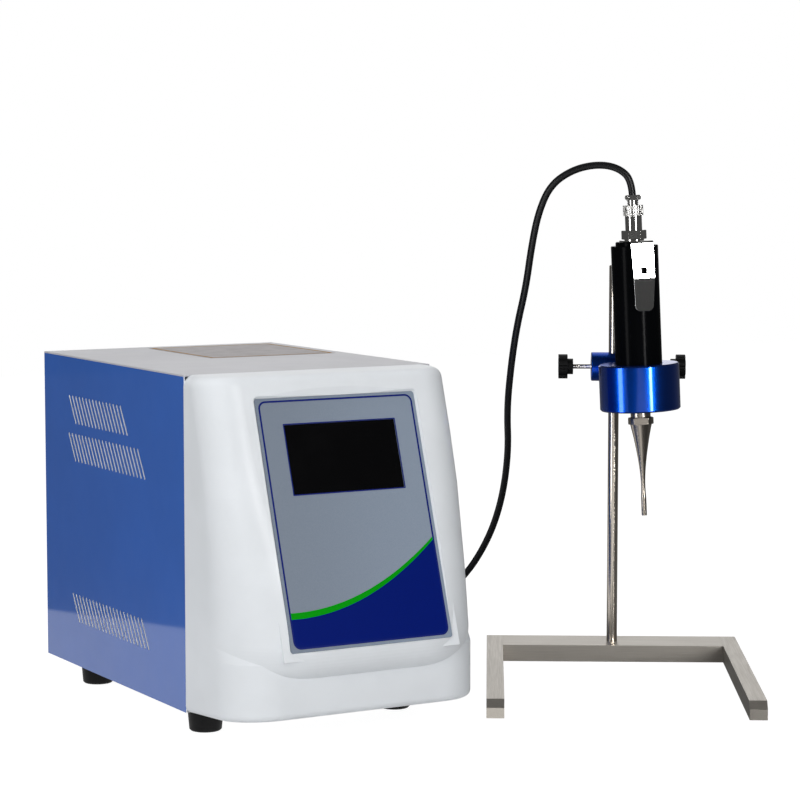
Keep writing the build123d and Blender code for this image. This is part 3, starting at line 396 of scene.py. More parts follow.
@dataclass(frozen=True)
class Enamel(Finish):
    """Stoved enamel on sheet metal, with a faint orange peel."""

    peel: float = 0.000004
    coat: float = 0.3
    coat_roughness: float = 0.05

    def dress(self, graph: Graph) -> None:
        """Adds drifting tone, peel and a clear gloss.

        Args:
            graph: The material's node tree.
        """
        drift = graph.span(graph.noise(9, 4), 0.3, 0.7)
        patches = graph.noise(40, 3)
        graph.put(Base_Color=graph.mix(drift, self.colour, shade(self.colour, 0.97)),
                  Roughness=graph.span(patches, 0.3, 0.7, self.roughness, self.roughness + 0.06),
                  Normal=graph.bump(graph.noise(900, 1), self.peel, graph.rounded(0.0006)))
        graph.shader.inputs["Coat Weight"].default_value = self.coat
        graph.shader.inputs["Coat Roughness"].default_value = self.coat_roughness


@dataclass(frozen=True)
class PunchedEnamel(Enamel):
    """Enamel on a punched sheet: inside its slots the cut metal is bare."""

    middle: float = 0.0
    half: float = 0.1405
    sheet: float = 0.0016
    skin: float = 0.00025
    metal: Colour = (252, 253, 255)

    def dress(self, graph: Graph) -> None:
        """Adds the enamel on the outer skin and bare metal below it.

        Args:
            graph: The material's node tree.
        """
        super().dress(graph)
        painted = graph.shader.inputs["Base Color"].links[0].from_socket
        out = graph.math("ABSOLUTE", graph.math("SUBTRACT", graph.part(graph.where, Axis.X), self.middle))
        bare = graph.span(out, self.half - 1.3 * self.skin, self.half - self.skin, 1.0, 0.0)
        inner = graph.span(out, self.half - self.sheet, self.half - self.sheet + 0.0002, 0.0, 1.0)
        bare = graph.math("MULTIPLY", bare, inner)
        graph.put(Base_Color=graph.mix(bare, painted, self.metal),
                  Metallic=graph.math("MULTIPLY", bare, 0.05))


@dataclass(frozen=True)
class Moulding(Finish):
    """Moulded plastic with a fine spark grain and a soft waviness."""

    grain: float = 0.000008
    grain_scale: float = 2200.0
    soften: float = 0.0008

    def dress(self, graph: Graph) -> None:
        """Adds the tone, the grain and the waviness.

        Args:
            graph: The material's node tree.
        """
        drift = graph.span(graph.noise(14, 4), 0.3, 0.7)
        smooth = graph.rounded(self.soften) if self.soften else None
        wave = graph.bump(graph.noise(25, 1), 0.00005, smooth)
        patches = graph.noise(300, 2)
        graph.put(Base_Color=graph.mix(drift, self.colour, shade(self.colour, 0.98)),
                  Roughness=graph.span(patches, 0.3, 0.7, self.roughness - 0.03, self.roughness + 0.05),
                  Normal=graph.bump(graph.noise(self.grain_scale, 1), self.grain, wave))


@dataclass(frozen=True)
class PrintedFilm(Finish):
    """Silver printed film with fine metal flakes and a painted reflection, darker at its left and lighter
    at its right.
    """

    flake: float = 0.06

    def dress(self, graph: Graph) -> None:
        """Adds the flakes, a painted reflection from darker at the left to lighter at the right, and a
        satin face.

        Args:
            graph: The material's node tree.
        """
        # painted reflection: the film's colour runs from shaded darker at the panel's left to lit lighter
        # at its right
        across = graph.part(graph.local(PANEL), Axis.X)
        side = graph.span(across, -0.09, 0.09)
        tone = graph.mix(side, shade(self.colour, 0.92), shade(self.colour, 1.06))
        flakes = graph.span(graph.noise(2600, 2), 0.35, 0.65)
        graph.put(Base_Color=graph.mix(graph.math("MULTIPLY", flakes, self.flake), tone, (255, 255, 255)),
                  Metallic=0.1,
                  Roughness=graph.span(flakes, 0.0, 1.0, self.roughness, self.roughness + 0.1),
                  Normal=graph.bump(graph.noise(1500, 1), 0.000004))


@dataclass(frozen=True)
class DisplayGlass(Finish):
    """Black cover glass over a display that is off."""

    def dress(self, graph: Graph) -> None:
        """Adds the unlit display's faint field behind the glass.

        Args:
            graph: The material's node tree.
        """
        weave = graph.span(graph.noise(5000, 1), 0.4, 0.6)
        smears = graph.noise(30, 3)
        graph.put(Base_Color=graph.mix(weave, self.colour, shade(self.colour, 1.5)),
                  Roughness=graph.span(smears, 0.3, 0.7, self.roughness, self.roughness + 0.04))


@dataclass(frozen=True)
class Ink(Finish):
    """Screen-printed ink."""

    def dress(self, graph: Graph) -> None:
        """Adds the fine mesh marks that screen printing leaves.

        Args:
            graph: The material's node tree.
        """
        mesh = graph.span(graph.noise(1800, 2), 0.35, 0.65)
        graph.put(Base_Color=graph.mix(mesh, self.colour, shade(self.colour, 0.94)),
                  Roughness=graph.span(mesh, 0.0, 1.0, self.roughness, self.roughness + 0.08),
                  Normal=graph.bump(mesh, 0.000003))


@dataclass(frozen=True)
class BrushedMetal(Finish):
    """Metal brushed in one direction."""

    spot: Spot = Spot()
    along: Axis = Axis.X
    depth: float = 0.00002
    contrast: float = 0.86
    soften: float = 0.0005
    spread: float = 0.12

    def dress(self, graph: Graph) -> None:
        """Adds streaks along the brushing in tone, gloss and relief.

        Args:
            graph: The material's node tree.
        """
        stretch = tuple(90.0 if axis is self.along else 1.0 for axis in Axis)
        streaks = graph.noise(1700, 3, graph.local(self.spot, stretch), 0.65)
        share = graph.span(streaks, 0.32, 0.68)
        smudge = graph.span(graph.noise(22, 4), 0.35, 0.7)
        tone = graph.mix(share, self.colour, shade(self.colour, self.contrast))
        smudge = graph.math("MULTIPLY", smudge, 0.25)
        graph.put(Base_Color=graph.mix(smudge, tone, shade(self.colour, 0.9)),
                  Metallic=1.0,
                  Roughness=graph.span(share, 0.0, 1.0, self.roughness, self.roughness + self.spread))
        if self.soften:
            graph.put(Normal=graph.bump(streaks, self.depth, graph.rounded(self.soften)))


@dataclass(frozen=True)
class TurnedMetal(Finish):
    """Metal turned on a lathe, with fine rings round its axis."""

    spot: Spot = Spot()
    axis: Axis = Axis.Z
    depth: float = 0.000012
    pitch: float = 0.0005
    contrast: float = 0.9
    coat: float = 0.0
    metallic: float = 1.0

    def dress(self, graph: Graph) -> None:
        """Adds the tool rings in tone, gloss and relief.

        Args:
            graph: The material's node tree.
        """
        stretch = tuple(1.0 if axis is self.axis else 400.0 for axis in Axis)
        rings = graph.noise(1 / self.pitch, 2, graph.local(self.spot, stretch), 0.6)
        share = graph.span(rings, 0.3, 0.7)
        graph.put(Base_Color=graph.mix(share, self.colour, shade(self.colour, self.contrast)),
                  Metallic=self.metallic,
                  Roughness=graph.span(share, 0.0, 1.0, self.roughness, self.roughness + 0.07),
                  Normal=graph.bump(rings, self.depth, graph.rounded(0.0004)))
        graph.shader.inputs["Coat Weight"].default_value = self.coat
        graph.shader.inputs["Coat Roughness"].default_value = 0.08


@dataclass(frozen=True)
class Plating(Finish):
    """Bright plating with faint handling marks."""

    mark: float = 0.1
    wave: float = 0.000003

    def dress(self, graph: Graph) -> None:
        """Adds the marks and a little waviness.

        Args:
            graph: The material's node tree.
        """
        marks = graph.span(graph.noise(350, 5, None, 0.7), 0.4, 0.75)
        graph.put(Base_Color=graph.mix(marks, self.colour, shade(self.colour, 0.9)), Metallic=1.0,
                  Roughness=graph.span(marks, 0.0, 1.0, self.roughness, self.roughness + self.mark),
                  Normal=graph.bump(graph.noise(500, 1), self.wave, graph.rounded(0.0004)))


@dataclass(frozen=True)
class Rubber(Finish):
    """Black rubber or flexible jacket, slightly dusty."""

    soften: float = 0.0005

    def dress(self, graph: Graph) -> None:
        """Adds dust, fine grain and a soft gloss.

        Args:
            graph: The material's node tree.
        """
        dust = graph.span(graph.noise(120, 5, None, 0.65), 0.5, 0.85)
        veil = graph.math("MULTIPLY", dust, 0.25)
        graph.put(Base_Color=graph.mix(veil, self.colour, shade(self.colour, 2.0)),
                  Roughness=graph.span(dust, 0.0, 1.0, self.roughness, self.roughness + 0.15),
                  Normal=graph.bump(graph.noise(2500, 2), 0.00001, graph.rounded(self.soften)))


@dataclass(frozen=True)
class ScrewKnob(Finish):
    """A black moulded knob on a steel screw, split along the screw's axis."""

    spot: Spot = Spot()
    start: float = 0.0
    thread: float = 0.0009
    steel: Colour = (196, 192, 186)

    def dress(self, graph: Graph) -> None:
        """Adds phenolic plastic beyond the start and threaded steel before it.

        Args:
            graph: The material's node tree.
        """
        along = graph.part(graph.local(self.spot), Axis.X)
        out = graph.math("ABSOLUTE", along)
        steel = graph.span(out, self.start - 0.0001, self.start + 0.0001, 1.0, 0.0)
        wave = graph.math("SINE", graph.math("MULTIPLY", along, 2 * math.pi / self.thread))
        height = graph.math("MULTIPLY", wave, graph.math("MULTIPLY", steel, 0.5))
        graph.put(Base_Color=graph.mix(steel, self.colour, self.steel), Metallic=steel,
                  Roughness=graph.span(steel, 0.0, 1.0, self.roughness, 0.2),
                  Normal=graph.bump(height, 0.00012, graph.rounded(0.0006)))


@dataclass(frozen=True)
class CircuitBoard(Finish):
    """A coated board with copper tracks and small parts."""

    parts: Colour = (26, 26, 28)

    def dress(self, graph: Graph) -> None:
        """Adds tracks, pads and a mix of dark and pale components.

        Args:
            graph: The material's node tree.
        """
        tracks = graph.span(graph.noise(240, 1, graph.local(stretch=(1, 6, 6))), 0.52, 0.56)
        blocks = graph.part(graph.cells(60), Axis.X)
        tone = graph.mix(graph.math("MULTIPLY", tracks, 0.5), self.colour, (70, 130, 80))
        graph.put(Base_Color=graph.mix(graph.span(blocks, 0.72, 0.76), tone, self.parts),
                  Roughness=self.roughness, Normal=graph.bump(tracks, 0.00003))


@dataclass(frozen=True)
class Winding(Finish):
    """Tape or wire wound round a core, as close bands along one local axis."""

    spot: Spot = Spot()
    axis: Axis = Axis.Z
    pitch: float = 0.002
    second: Colour = (90, 60, 20)

    def dress(self, graph: Graph) -> None:
        """Adds the bands in tone and relief.

        Args:
            graph: The material's node tree.
        """
        along = graph.part(graph.local(self.spot), self.axis)
        wave = graph.math("SINE", graph.math("MULTIPLY", along, 2 * math.pi / self.pitch))
        share = graph.span(wave, -0.4, 0.9)
        graph.put(Base_Color=graph.mix(share, self.second, self.colour), Roughness=self.roughness,
                  Normal=graph.bump(share, 0.0002, graph.rounded(0.0006)))


# Meshes
def made(name: str, mesh: bmesh.types.BMesh, finish: Finish, body: str,
         smooth: bool = True) -> bpy.types.Object:
    """Turns worked geometry into a piece that rides on a body.

    Args:
        name: The piece's name.
        mesh: Its geometry in frame metres; it is used up.
        finish: Its finish.
        body: The body it rides on, or an empty name for a piece left unattached.
        smooth: Whether its faces are shaded smooth.

    Returns:
        The new object.
    """
    bmesh.ops.recalc_face_normals(mesh, faces=mesh.faces)
    data = bpy.data.meshes.new(name)
    mesh.to_mesh(data)
    mesh.free()
    for polygon in data.polygons:
        polygon.use_smooth = smooth
    data.materials.append(finish.material())
    piece = bpy.data.objects.new(name, data)
    bpy.context.scene.collection.objects.link(piece)
    if smooth:
        data.set_sharp_from_angle(angle=math.radians(35))
    if body:
        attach(piece, body)
    LOG.info("piece %s: %d faces", name, len(data.polygons))
    return piece


def ribbon(upper: Sequence[tuple[float, float]], lower: Sequence[tuple[float, float]], low: float,
           high: float, spot: Spot, closed: bool = False) -> bmesh.types.BMesh:
    """Fills the band between two outlines as a thin solid.

    Args:
        upper: Points of one edge in local millimetres.
        lower: As many points of the other edge.
        low: Height of the underside over the local plane, in millimetres.
        high: Height of the face, in millimetres.
        spot: The local plane.
        closed: Whether the band closes on itself.

    Returns:
        The geometry.
    """
    work = bmesh.new()
    rows = []
    for first, second in zip(upper, lower):
        rows.append([work.verts.new(spot.point(*place)) for place in (
            (*first, high), (*second, high), (*second, low), (*first, low))])
    pairs = list(zip(rows, rows[1:]))
    if closed:
        pairs.append((rows[-1], rows[0]))
    for one, two in pairs:
        for i in range(4):
            work.faces.new((one[i], one[(i + 1) % 4], two[(i + 1) % 4], two[i]))
    if not closed:
        work.faces.new(rows[0])
        work.faces.new(rows[-1][::-1])
    return work


def lathe(work: bmesh.types.BMesh, profile: Sequence[tuple[float, float]], spot: Spot,
          axis: Axis = Axis.Z, steps: int = 24) -> None:
    """Turns a profile of radius and height round a local axis.

    Args:
        work: Geometry to add to.
        profile: Radius and height in millimetres, from end to end.
        spot: Where the axis starts.
        axis: The local axis that it is turned round.
        steps: Faces round the axis.
    """
    order = {Axis.X: (2, 0, 1), Axis.Y: (1, 2, 0), Axis.Z: (0, 1, 2)}[axis]
    rings = []
    for radius, height in profile:
        row = []
        for i in range(steps):
            angle = 2 * math.pi * i / steps
            flat = (radius * math.cos(angle), radius * math.sin(angle), height)
            row.append(work.verts.new(spot.point(*(flat[k] for k in order))))
        rings.append(row)
    for one, two in zip(rings, rings[1:]):
        for i in range(steps):
            j = (i + 1) % steps
            work.faces.new((one[i], one[j], two[j], two[i]))
    work.faces.new(rings[0][::-1])
    work.faces.new(rings[-1])


def tube(path: Sequence[Vector], radius: float, sides: int = 18) -> bmesh.types.BMesh:
    """Sweeps a round section along a path without twisting it.

    Args:
        path: Points of the centre line, in metres.
        radius: Radius in metres.
        sides: Faces round the section.

    Returns:
        The geometry, closed at both ends.
    """
    work = bmesh.new()
    side = Vector((1, 0, 0))
    rings = []
    for i, place in enumerate(path):
        ahead = (path[min(i + 1, len(path) - 1)] - path[max(i - 1, 0)]).normalized()
        side = (side - ahead * side.dot(ahead)).normalized()
        up = ahead.cross(side)
        rings.append([work.verts.new(place + radius * (math.cos(a) * side + math.sin(a) * up))
                      for a in (2 * math.pi * k / sides for k in range(sides))])
    for one, two in zip(rings, rings[1:]):
        for k in range(sides):
            work.faces.new((one[k], one[(k + 1) % sides], two[(k + 1) % sides], two[k]))
    work.faces.new(rings[0][::-1])
    work.faces.new(rings[-1])
    return work


def rounded_outline(left: float, right: float, bottom: float, top: float, radius: float,
                    steps: int = 8) -> list[tuple[float, float]]:
    """Draws a rectangle with round corners.

    Args:
        left: Its left side.
        right: Its right side.
        bottom: Its bottom.
        top: Its top.
        radius: Radius of the corners.
        steps: Points on each corner less one.

    Returns:
        The outline's points, anticlockwise.
    """
    corners = ((right - radius, bottom + radius, -90), (right - radius, top - radius, 0),
               (left + radius, top - radius, 90), (left + radius, bottom + radius, 180))
    return [(x + radius * math.cos(math.radians(start + 90 * i / steps)),
             y + radius * math.sin(math.radians(start + 90 * i / steps)))
            for x, y, start in corners for i in range(steps + 1)]


def finish_node(node: str, finish: Finish) -> None:
    """Gives a carried-over node its finish.

    Args:
        node: The node's name.
        finish: The finish.
    """
    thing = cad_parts[node]
    if not thing.material_slots:
        thing.data.materials.append(finish.material())
    for slot in thing.material_slots:
        slot.material = finish.material()
    LOG.info("node %s: %s", node, finish.name)


def finish_nodes(finishes: dict[str, Finish]) -> None:
    """Gives several nodes their finishes.

    Args:
        finishes: The finish of each node.
    """
    for node, finish in finishes.items():
        finish_node(node, finish)


# The case
@dataclass
class GeneratorCase:
    """Blue sides, grey lid and rear, zinc base pan, feet and the lid's label."""

    label_left: float = -24.0
    label_right: float = 126.0
    label_front: float = 180.0
    label_back: float = 341.0
    label_top: float = 362.405
    border: float = 3.0
    border_inset: float = 1.6
    border_radius: float = 2.0
    inner_radius: float = 0.8

    def dress(self) -> None:
        """Gives the sheet-metal nodes and the feet their finishes."""
        blue = PunchedEnamel("blue_enamel", (50, 104, 196), 0.4, 0.05, coat=0.9, middle=LAYOUT.corner.x,
                             half=LAYOUT.case_half)
        grey = Enamel("lid_enamel", (206, 206, 211), 0.42, 0.2, coat=0.1)
        rubber = Rubber("foot_tread", (22, 22, 23), 0.5, 0.15)
        zinc = Plating("zinc_plating", (190, 192, 196), 0.3)
        finish_nodes({"side_panel_left": blue, "side_panel_right": blue, "lid_panel": grey,
                      "rear_panel": grey, "base_pan": BrushedMetal("pan_zinc", (176, 178, 180), 0.4),
                      "lid_label": Finish("label_film", (180, 175, 176), 0.45, 0.1)})
        for place in ("front_left", "front_right", "rear_left", "rear_right"):
            finish_nodes({"foot_" + place: rubber, "foot_screw_" + place: zinc})

    def label_outline(self, gap: float, radius: float) -> list[tuple[float, float]]:
        """Draws an outline within the label.

        Args:
            gap: Millimetres in from the label's edge.
            radius: Radius of its corners.

        Returns:
            The outline's points.
        """
        return rounded_outline(self.label_left + gap, self.label_right - gap,
                               self.label_front + gap, self.label_back - gap, radius)

    def build_label_border(self) -> None:
        """Prints the label's yellow edge."""
        outer = self.label_outline(self.border_inset, self.border_radius)
        inner = self.label_outline(self.border_inset + self.border, self.inner_radius)
        spot = LAYOUT.spot(0, 0, self.label_top)
        made("label_border", ribbon(outer, inner, -0.05, 0.06, spot, closed=True),
             Ink("label_gold", (172, 124, 0), 0.5, 0.02), "set", smooth=False)

    def build(self) -> None:
        """Dresses the nodes and adds the label's edge."""
        self.dress()
        self.build_label_border()


# The moulded front
@dataclass
class MouldedFront:
    """White moulded front with its printed panel and the display."""

    width: float = 180.0
    frame_left: float = 4.4
    frame_right: float = 175.9
    frame_bottom: float = 4.0
    frame_top: float = 248.4
    frame_radius: float = 7.0
    frame_line: float = 1.9
    window_left: float = 28.6
    window_right: float = 152.6
    window_bottom: float = 154.4
    window_top: float = 224.4
    window_line: float = 1.2
    swoosh_left: float = 32.7
    swoosh_slope: float = 0.1642
    swoosh_bow: float = 0.00248
    swoosh_turn: float = 84.2
    stripe_left: float = 6.3
    stripe_taper: float = 3.3
    swoosh_overlap: float = 0.2
    print_low: float = -0.06
    field_high: float = 0.06
    stripe_high: float = 0.09
    line_high: float = 0.12

    def dress(self) -> None:
        """Gives the moulding, the panel and the display their finishes."""
        finish_nodes({
            "front_bezel": Moulding("white_moulding", (241, 245, 249), 0.34, 0.22, soften=0.0),
            "front_panel": PrintedFilm("silver_film", (124, 137, 154), 0.42, 0.15),
            "touch_screen": DisplayGlass("display_glass", (4, 4, 5), 0.1, 0.2),
        })

    def swoosh_low(self, x: float) -> float:
        """Height of the green stripe's lower edge at a place across the panel.

        Args:
            x: Millimetres from the panel's left side.

        Returns:
            Millimetres above the panel's foot.
        """
        across = x - self.frame_left
        return (self.swoosh_left + self.swoosh_slope * across
                + self.swoosh_bow * across * (x - self.swoosh_turn))

    def swoosh_high(self, x: float) -> float:
        """Height of the green stripe's upper edge at a place across the panel.

        Args:
            x: Millimetres from the panel's left side.

        Returns:
            Millimetres above the panel's foot.
        """
        share = (x - self.frame_left) / (self.frame_right - self.frame_left)
        return self.swoosh_low(x) + self.stripe_left - self.stripe_taper * share ** 2.0

    def bottom(self, x: float) -> float:
        """Height of the frame line's middle along the bottom, round its corners.

        Args:
            x: Millimetres from the panel's left side.

        Returns:
            Millimetres above the panel's foot.
        """
        radius = self.frame_radius
        reach = max(self.frame_left + radius - x, x - self.frame_right + radius, 0.0)
        return self.frame_bottom + radius - math.sqrt(max(0.0, radius ** 2 - reach ** 2))

    def columns(self, count: int = 72) -> list[float]:
        """Places across the framed field, close together in its corners.

        Args:
            count: How many there are.

        Returns:
            Millimetres from the panel's left side.
        """
        middle = (self.frame_left + self.frame_right) / 2
        half = (self.frame_right - self.frame_left) / 2 - 0.4
        return [middle - half * math.cos(math.pi * i / (count - 1)) for i in range(count)]

    def shifted(self, points: Iterable[tuple[float, float]]) -> list[tuple[float, float]]:
        """Moves points from the panel's left side to its middle.

        Args:
            points: Points measured from the panel's left side.

        Returns:
            Points measured from its middle.
        """
        return [(x - self.width / 2, y) for x, y in points]

    def build_print(self, name: str, edges: tuple[list[tuple[float, float]], list[tuple[float, float]]],
                    high: float, ink: Ink, closed: bool = False) -> None:
        """Prints one band on the panel.

        Args:
            name: The piece's name.
            edges: The band's two edges, measured from the panel's left side.
            high: Height of its face over the panel, in millimetres.
            ink: Its ink.
            closed: Whether it closes on itself.
        """
        upper, lower = (self.shifted(edge) for edge in edges)
        made(name, ribbon(upper, lower, self.print_low, high, PANEL, closed), ink, "set",
             smooth=False)

    def build_prints(self) -> None:
        """Prints the dark field, the green stripe, the frame line and the window's edge."""
        blue = Ink("field_ink", (0, 26, 120), 0.4, 0.02)
        green = Ink("stripe_ink", (0, 164, 10), 0.4, 0.02)
        line = Ink("line_ink", (16, 34, 120), 0.35, 0.06)
        across = self.columns()
        low = [(x, self.swoosh_low(x)) for x in across]
        field_top = [(x, y + self.swoosh_overlap) for x, y in low]
        self.build_print("panel_field", (field_top, [(x, self.bottom(x)) for x in across]),
                         self.field_high, blue)
        self.build_print("panel_stripe", ([(x, self.swoosh_high(x)) for x in across], low),
                         self.stripe_high, green)
        frame_edges = tuple(
            rounded_outline(self.frame_left - out, self.frame_right + out, self.frame_bottom - out,
                            self.frame_top + out, self.frame_radius + out)
            for out in (self.frame_line / 2, -self.frame_line / 2))
        self.build_print("panel_frame_line", frame_edges, self.line_high, line, closed=True)
        window_edges = tuple(
            rounded_outline(self.window_left - out, self.window_right + out,
                            self.window_bottom - out, self.window_top + out, radius, 3)
            for out, radius in ((self.window_line, 0.6), (0.0, 0.05)))
        self.build_print("window_line", window_edges, self.stripe_high, line, closed=True)

    def build(self) -> None:
        """Dresses the nodes and prints the panel."""
        self.dress()
        self.build_prints()


# The rear
@dataclass
class RearFittings:
    """Fan, mains inlet, switch, fuse, output socket and the rear panel's screws."""

    head_radius: float = 3.4
    head_height: float = 1.9
    screw_side: float = 132.0
    screw_heights: tuple[float, ...] = (350.0, 36.0, 190.0)

    def dress(self) -> None:
        """Gives the rear's nodes their finishes."""
        black = Moulding("fitting_moulding", (30, 30, 32), 0.42)
        fan = Moulding("fan_moulding", (26, 26, 27), 0.5)
        nickel = Plating("nickel_plating", (214, 212, 208), 0.14)
        finish_nodes({
            "fan_frame": fan, "fan_rotor": fan, "fan_guard": Plating("guard_wire", (206, 206, 208), 0.2),
            "mains_inlet": black, "switch_frame": black,
            "power_rocker": Moulding("rocker_black", (36, 36, 38), 0.3),
            "fuse_holder": black, "fuse_cap": black, "output_socket": nickel, "plug_ring": nickel,
            "plug_body": nickel, "plug_strain_relief": Rubber("relief_rubber", (24, 24, 25), 0.48, 0.2)})

    def screw(self, work: bmesh.types.BMesh, x: float, z: float) -> None:
        """Adds one domed screw head on the rear panel.

        Args:
            work: Geometry to add to.
            x: Millimetres to the right of the case's middle.
            z: Millimetres above the bench.
        """
        r = self.head_radius
        h = self.head_height
        profile = [(r, -0.05), (r, 0.5), (r * 0.96, h * 0.5), (r * 0.84, h * 0.78), (r * 0.62, h * 0.95),
                   (r * 0.4, h), (r * 0.36, h * 0.72), (0.2, h * 0.4)]
        lathe(work, profile, LAYOUT.spot(x, LAYOUT.case_depth, z), Axis.Y)

    def build_screws(self) -> None:
        """Adds the screws that hold the rear panel and lid."""
        work = bmesh.new()
        for height in self.screw_heights:
            self.screw(work, -self.screw_side, height)
            self.screw(work, self.screw_side, height)
        made("rear_screws", work, Plating("screw_plating", (196, 197, 200), 0.25), "set")

    def build(self) -> None:
        """Dresses the nodes and adds the screws."""
        self.dress()
        self.build_screws()


# The inside
@dataclass
class InnerParts:
    """What the vents and the fan give a glimpse of, and the sonicator's own stack."""

    board_green: Colour = (34, 96, 58)
    toroid: tuple[float, float, float] = (-75.0, 110.0, 25.0)
    coil: tuple[float, float, float] = (55.0, 200.0, 40.0)

    def build(self) -> None:
        """Gives the inner nodes their finishes."""
        board = CircuitBoard("circuit_board", self.board_green, 0.4)
        finish_nodes({
            "display_board": board, "power_board": board,
            "mains_transformer": Winding("toroid_tape", (206, 150, 60), 0.45,
                                         spot=LAYOUT.spot(*self.toroid), pitch=0.006,
                                         second=(150, 100, 34)),
            "output_transformer": Winding("coil_and_core", (70, 66, 64), 0.5,
                                          spot=LAYOUT.spot(*self.coil), pitch=0.003,
                                          second=(40, 38, 38)),
            "heat_sink": BrushedMetal("extruded_aluminium", (196, 197, 200), 0.35, along=Axis.Y),
            "stack_driver": TurnedMetal("driver_aluminium", (206, 206, 208), 0.28, spot=GRIP),
            "piezo_stack": Winding("ceramic_rings", (226, 220, 204), 0.45, spot=GRIP, pitch=0.0113,
                                   second=(176, 112, 66)),
            "rear_mass": TurnedMetal("turned_mass", (150, 149, 148), 0.3, spot=GRIP),
            "stack_bolt": Plating("bolt_steel", (150, 150, 152), 0.28)})


# The stand
@dataclass
class Stand:
    """Brushed base of three flat bars and the polished rod."""

    steel: Colour = (196, 190, 181)
    rod_tone: Colour = (214, 205, 193)

    def build(self) -> None:
        """Gives the stand's nodes their finishes."""
        arms = BrushedMetal("arm_steel", self.steel, 0.34, spot=STAND, along=Axis.Y, depth=0.000008,
                            contrast=0.95)
        back = BrushedMetal("bar_steel", self.steel, 0.34, spot=STAND, depth=0.000008, contrast=0.95)
        finish_nodes({
            "base_arm_left": arms, "base_arm_right": arms, "base_rear_bar": back,
            "rod": BrushedMetal("rod_steel", self.rod_tone, 0.2, spot=STAND, along=Axis.Z, depth=0.0,
                                contrast=0.97, soften=0.0, spread=0.02),
            "rod_screw": Plating("rod_screw_steel", (186, 186, 188), 0.3)})


# The clamp
@dataclass
class HoldingClamp:
    """Blue boss and ring, the steel stem and the two thumb screws."""

    blue: Colour = (0, 74, 190)
    boss_left: float = 26.0
    boss_right: float = 47.0
    left_free: float = 20.7
    right_free: float = 17.6

    def build(self) -> None:
        """Gives the clamp's nodes their finishes."""
        finish_nodes({
            "clamp_boss": TurnedMetal("boss_anodised", self.blue, 0.26, spot=BOSS, axis=Axis.X,
                                       depth=0.000002, contrast=0.95, coat=0.3),
            "holding_ring": TurnedMetal("ring_anodised", self.blue, 0.2, spot=GRIP, depth=0.0000012,
                                        contrast=0.96, coat=0.6),
            "ring_stem": TurnedMetal("stem_steel", (188, 184, 178), 0.22, spot=BOSS, axis=Axis.Y),
            "rod_thumb_screw": ScrewKnob("left_knob", (14, 14, 15), 0.42, 0.12, BOSS,
                                         (self.boss_left + self.left_free) * MM),
            "stem_thumb_screw": ScrewKnob("right_knob", (14, 14, 15), 0.42, 0.12, BOSS,
                                          (self.boss_right + self.right_free) * MM)})


# The handpiece
@dataclass
class Handpiece:
    """Black barrel with its clip, bright connector and turned horn."""

    black: Colour = (8, 9, 11)

    def build(self) -> None:
        """Gives the handpiece's nodes their finishes."""
        barrel = TurnedMetal("barrel_anodised", self.black, 0.13, 0.02, GRIP, depth=0.000001,
                             contrast=0.92, metallic=0.0)
        nickel = Plating("connector_nickel", (222, 221, 218), 0.1, mark=0.03, wave=0.000001)
        finish_nodes({
            "handpiece_barrel": barrel, "handpiece_cap": barrel,
            "hanging_clip": BrushedMetal("clip_steel", (224, 224, 222), 0.05, spot=GRIP, along=Axis.Z,
                                         depth=0.0000005, contrast=0.97, spread=0.02),
            "handpiece_socket": nickel, "socket_nut": nickel,
            "coupling_ring": Plating("coupling_nickel", (206, 205, 202), 0.22),
            "plug_neck": nickel, "saddle_bar": nickel,
            "horn": TurnedMetal("horn_titanium", (170, 162, 152), 0.2, spot=GRIP, depth=0.0000008,
                                pitch=0.0009, contrast=0.95)})


# The lead
class Run(Enum):
    """The three runs of the lead, each with its corners in drawn millimetres."""

    UPPER = ((442.10, 67.67, 528.21), (441.25, 68.20, 550.18), (429, 77, 564), (411, 91, 568),
             (389, 108, 562), (370, 124, 545), (362, 136, 515), (361, 141.5, 496))
    MIDDLE = ((361, 141.5, 496), (360, 147, 477), (362, 162, 429), (362, 181, 383),
              (364.5, 191, 359.5))
    LOWER = ((364.5, 191, 359.5), (367, 201, 336), (375, 222, 284), (390, 242, 232), (397, 267, 172),
             (396, 297, 119), (383, 332, 69), (352, 373, 28), (310, 412, 8), (262, 450, 4.4),
             (210, 482, 5), (165, 500, 12), (128, 500, 38), (104, 484, 68), (96, 455, 84),
             (96, 423.5, 84))


@dataclass
class Lead:
    """The screened lead from the handpiece down behind the generator to its plug."""

    diameter: float = 0.008
    jacket: Rubber = Rubber("lead_jacket", (20, 21, 23), 0.36, 0.2)
    stiffness: str = "medium"
    smoothness: int = 16
    touches_bench: tuple[float, float, float] = (340.0, 390.0, 20.0)

    def line(self, run: Run) -> list[Vector]:
        """Reads the smooth line that a run's corners pull into shape.

        Args:
            run: The run.

        Returns:
            Points of its centre line, in metres.
        """
        data = bpy.data.curves.new("lead_line", "CURVE")
        data.dimensions = "3D"
        data.resolution_u = self.smoothness
        spline = data.splines.new("NURBS")
        spline.points.add(len(run.value) - 1)
        for point, corner in zip(spline.points, run.value):
            point.co = (*LAYOUT.point(*corner), 1.0)
        spline.order_u = 3
        spline.use_endpoint_u = True
        thing = bpy.data.objects.new("lead_line", data)
        bpy.context.scene.collection.objects.link(thing)
        bpy.context.view_layer.update()
        mesh = bpy.data.meshes.new_from_object(thing)
        points = [v.co.copy() for v in mesh.vertices]
        bpy.data.meshes.remove(mesh)
        bpy.data.objects.remove(thing)
        bpy.data.curves.remove(data)
        return points

    def lay(self, run: Run) -> None:
        """Args:
            run: The run.
        """
        path = self.line(run)
        name = "lead_run_" + run.name.lower()
        piece = made(name, tube(path, self.diameter / 2), self.jacket, "")
        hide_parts("lead_" + run.name.lower())
        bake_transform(piece)

    def build(self) -> None:
        """Lays the three runs from the handpiece to the plug."""
        self.lay(Run.UPPER)
        self.lay(Run.MIDDLE)
        self.lay(Run.LOWER)


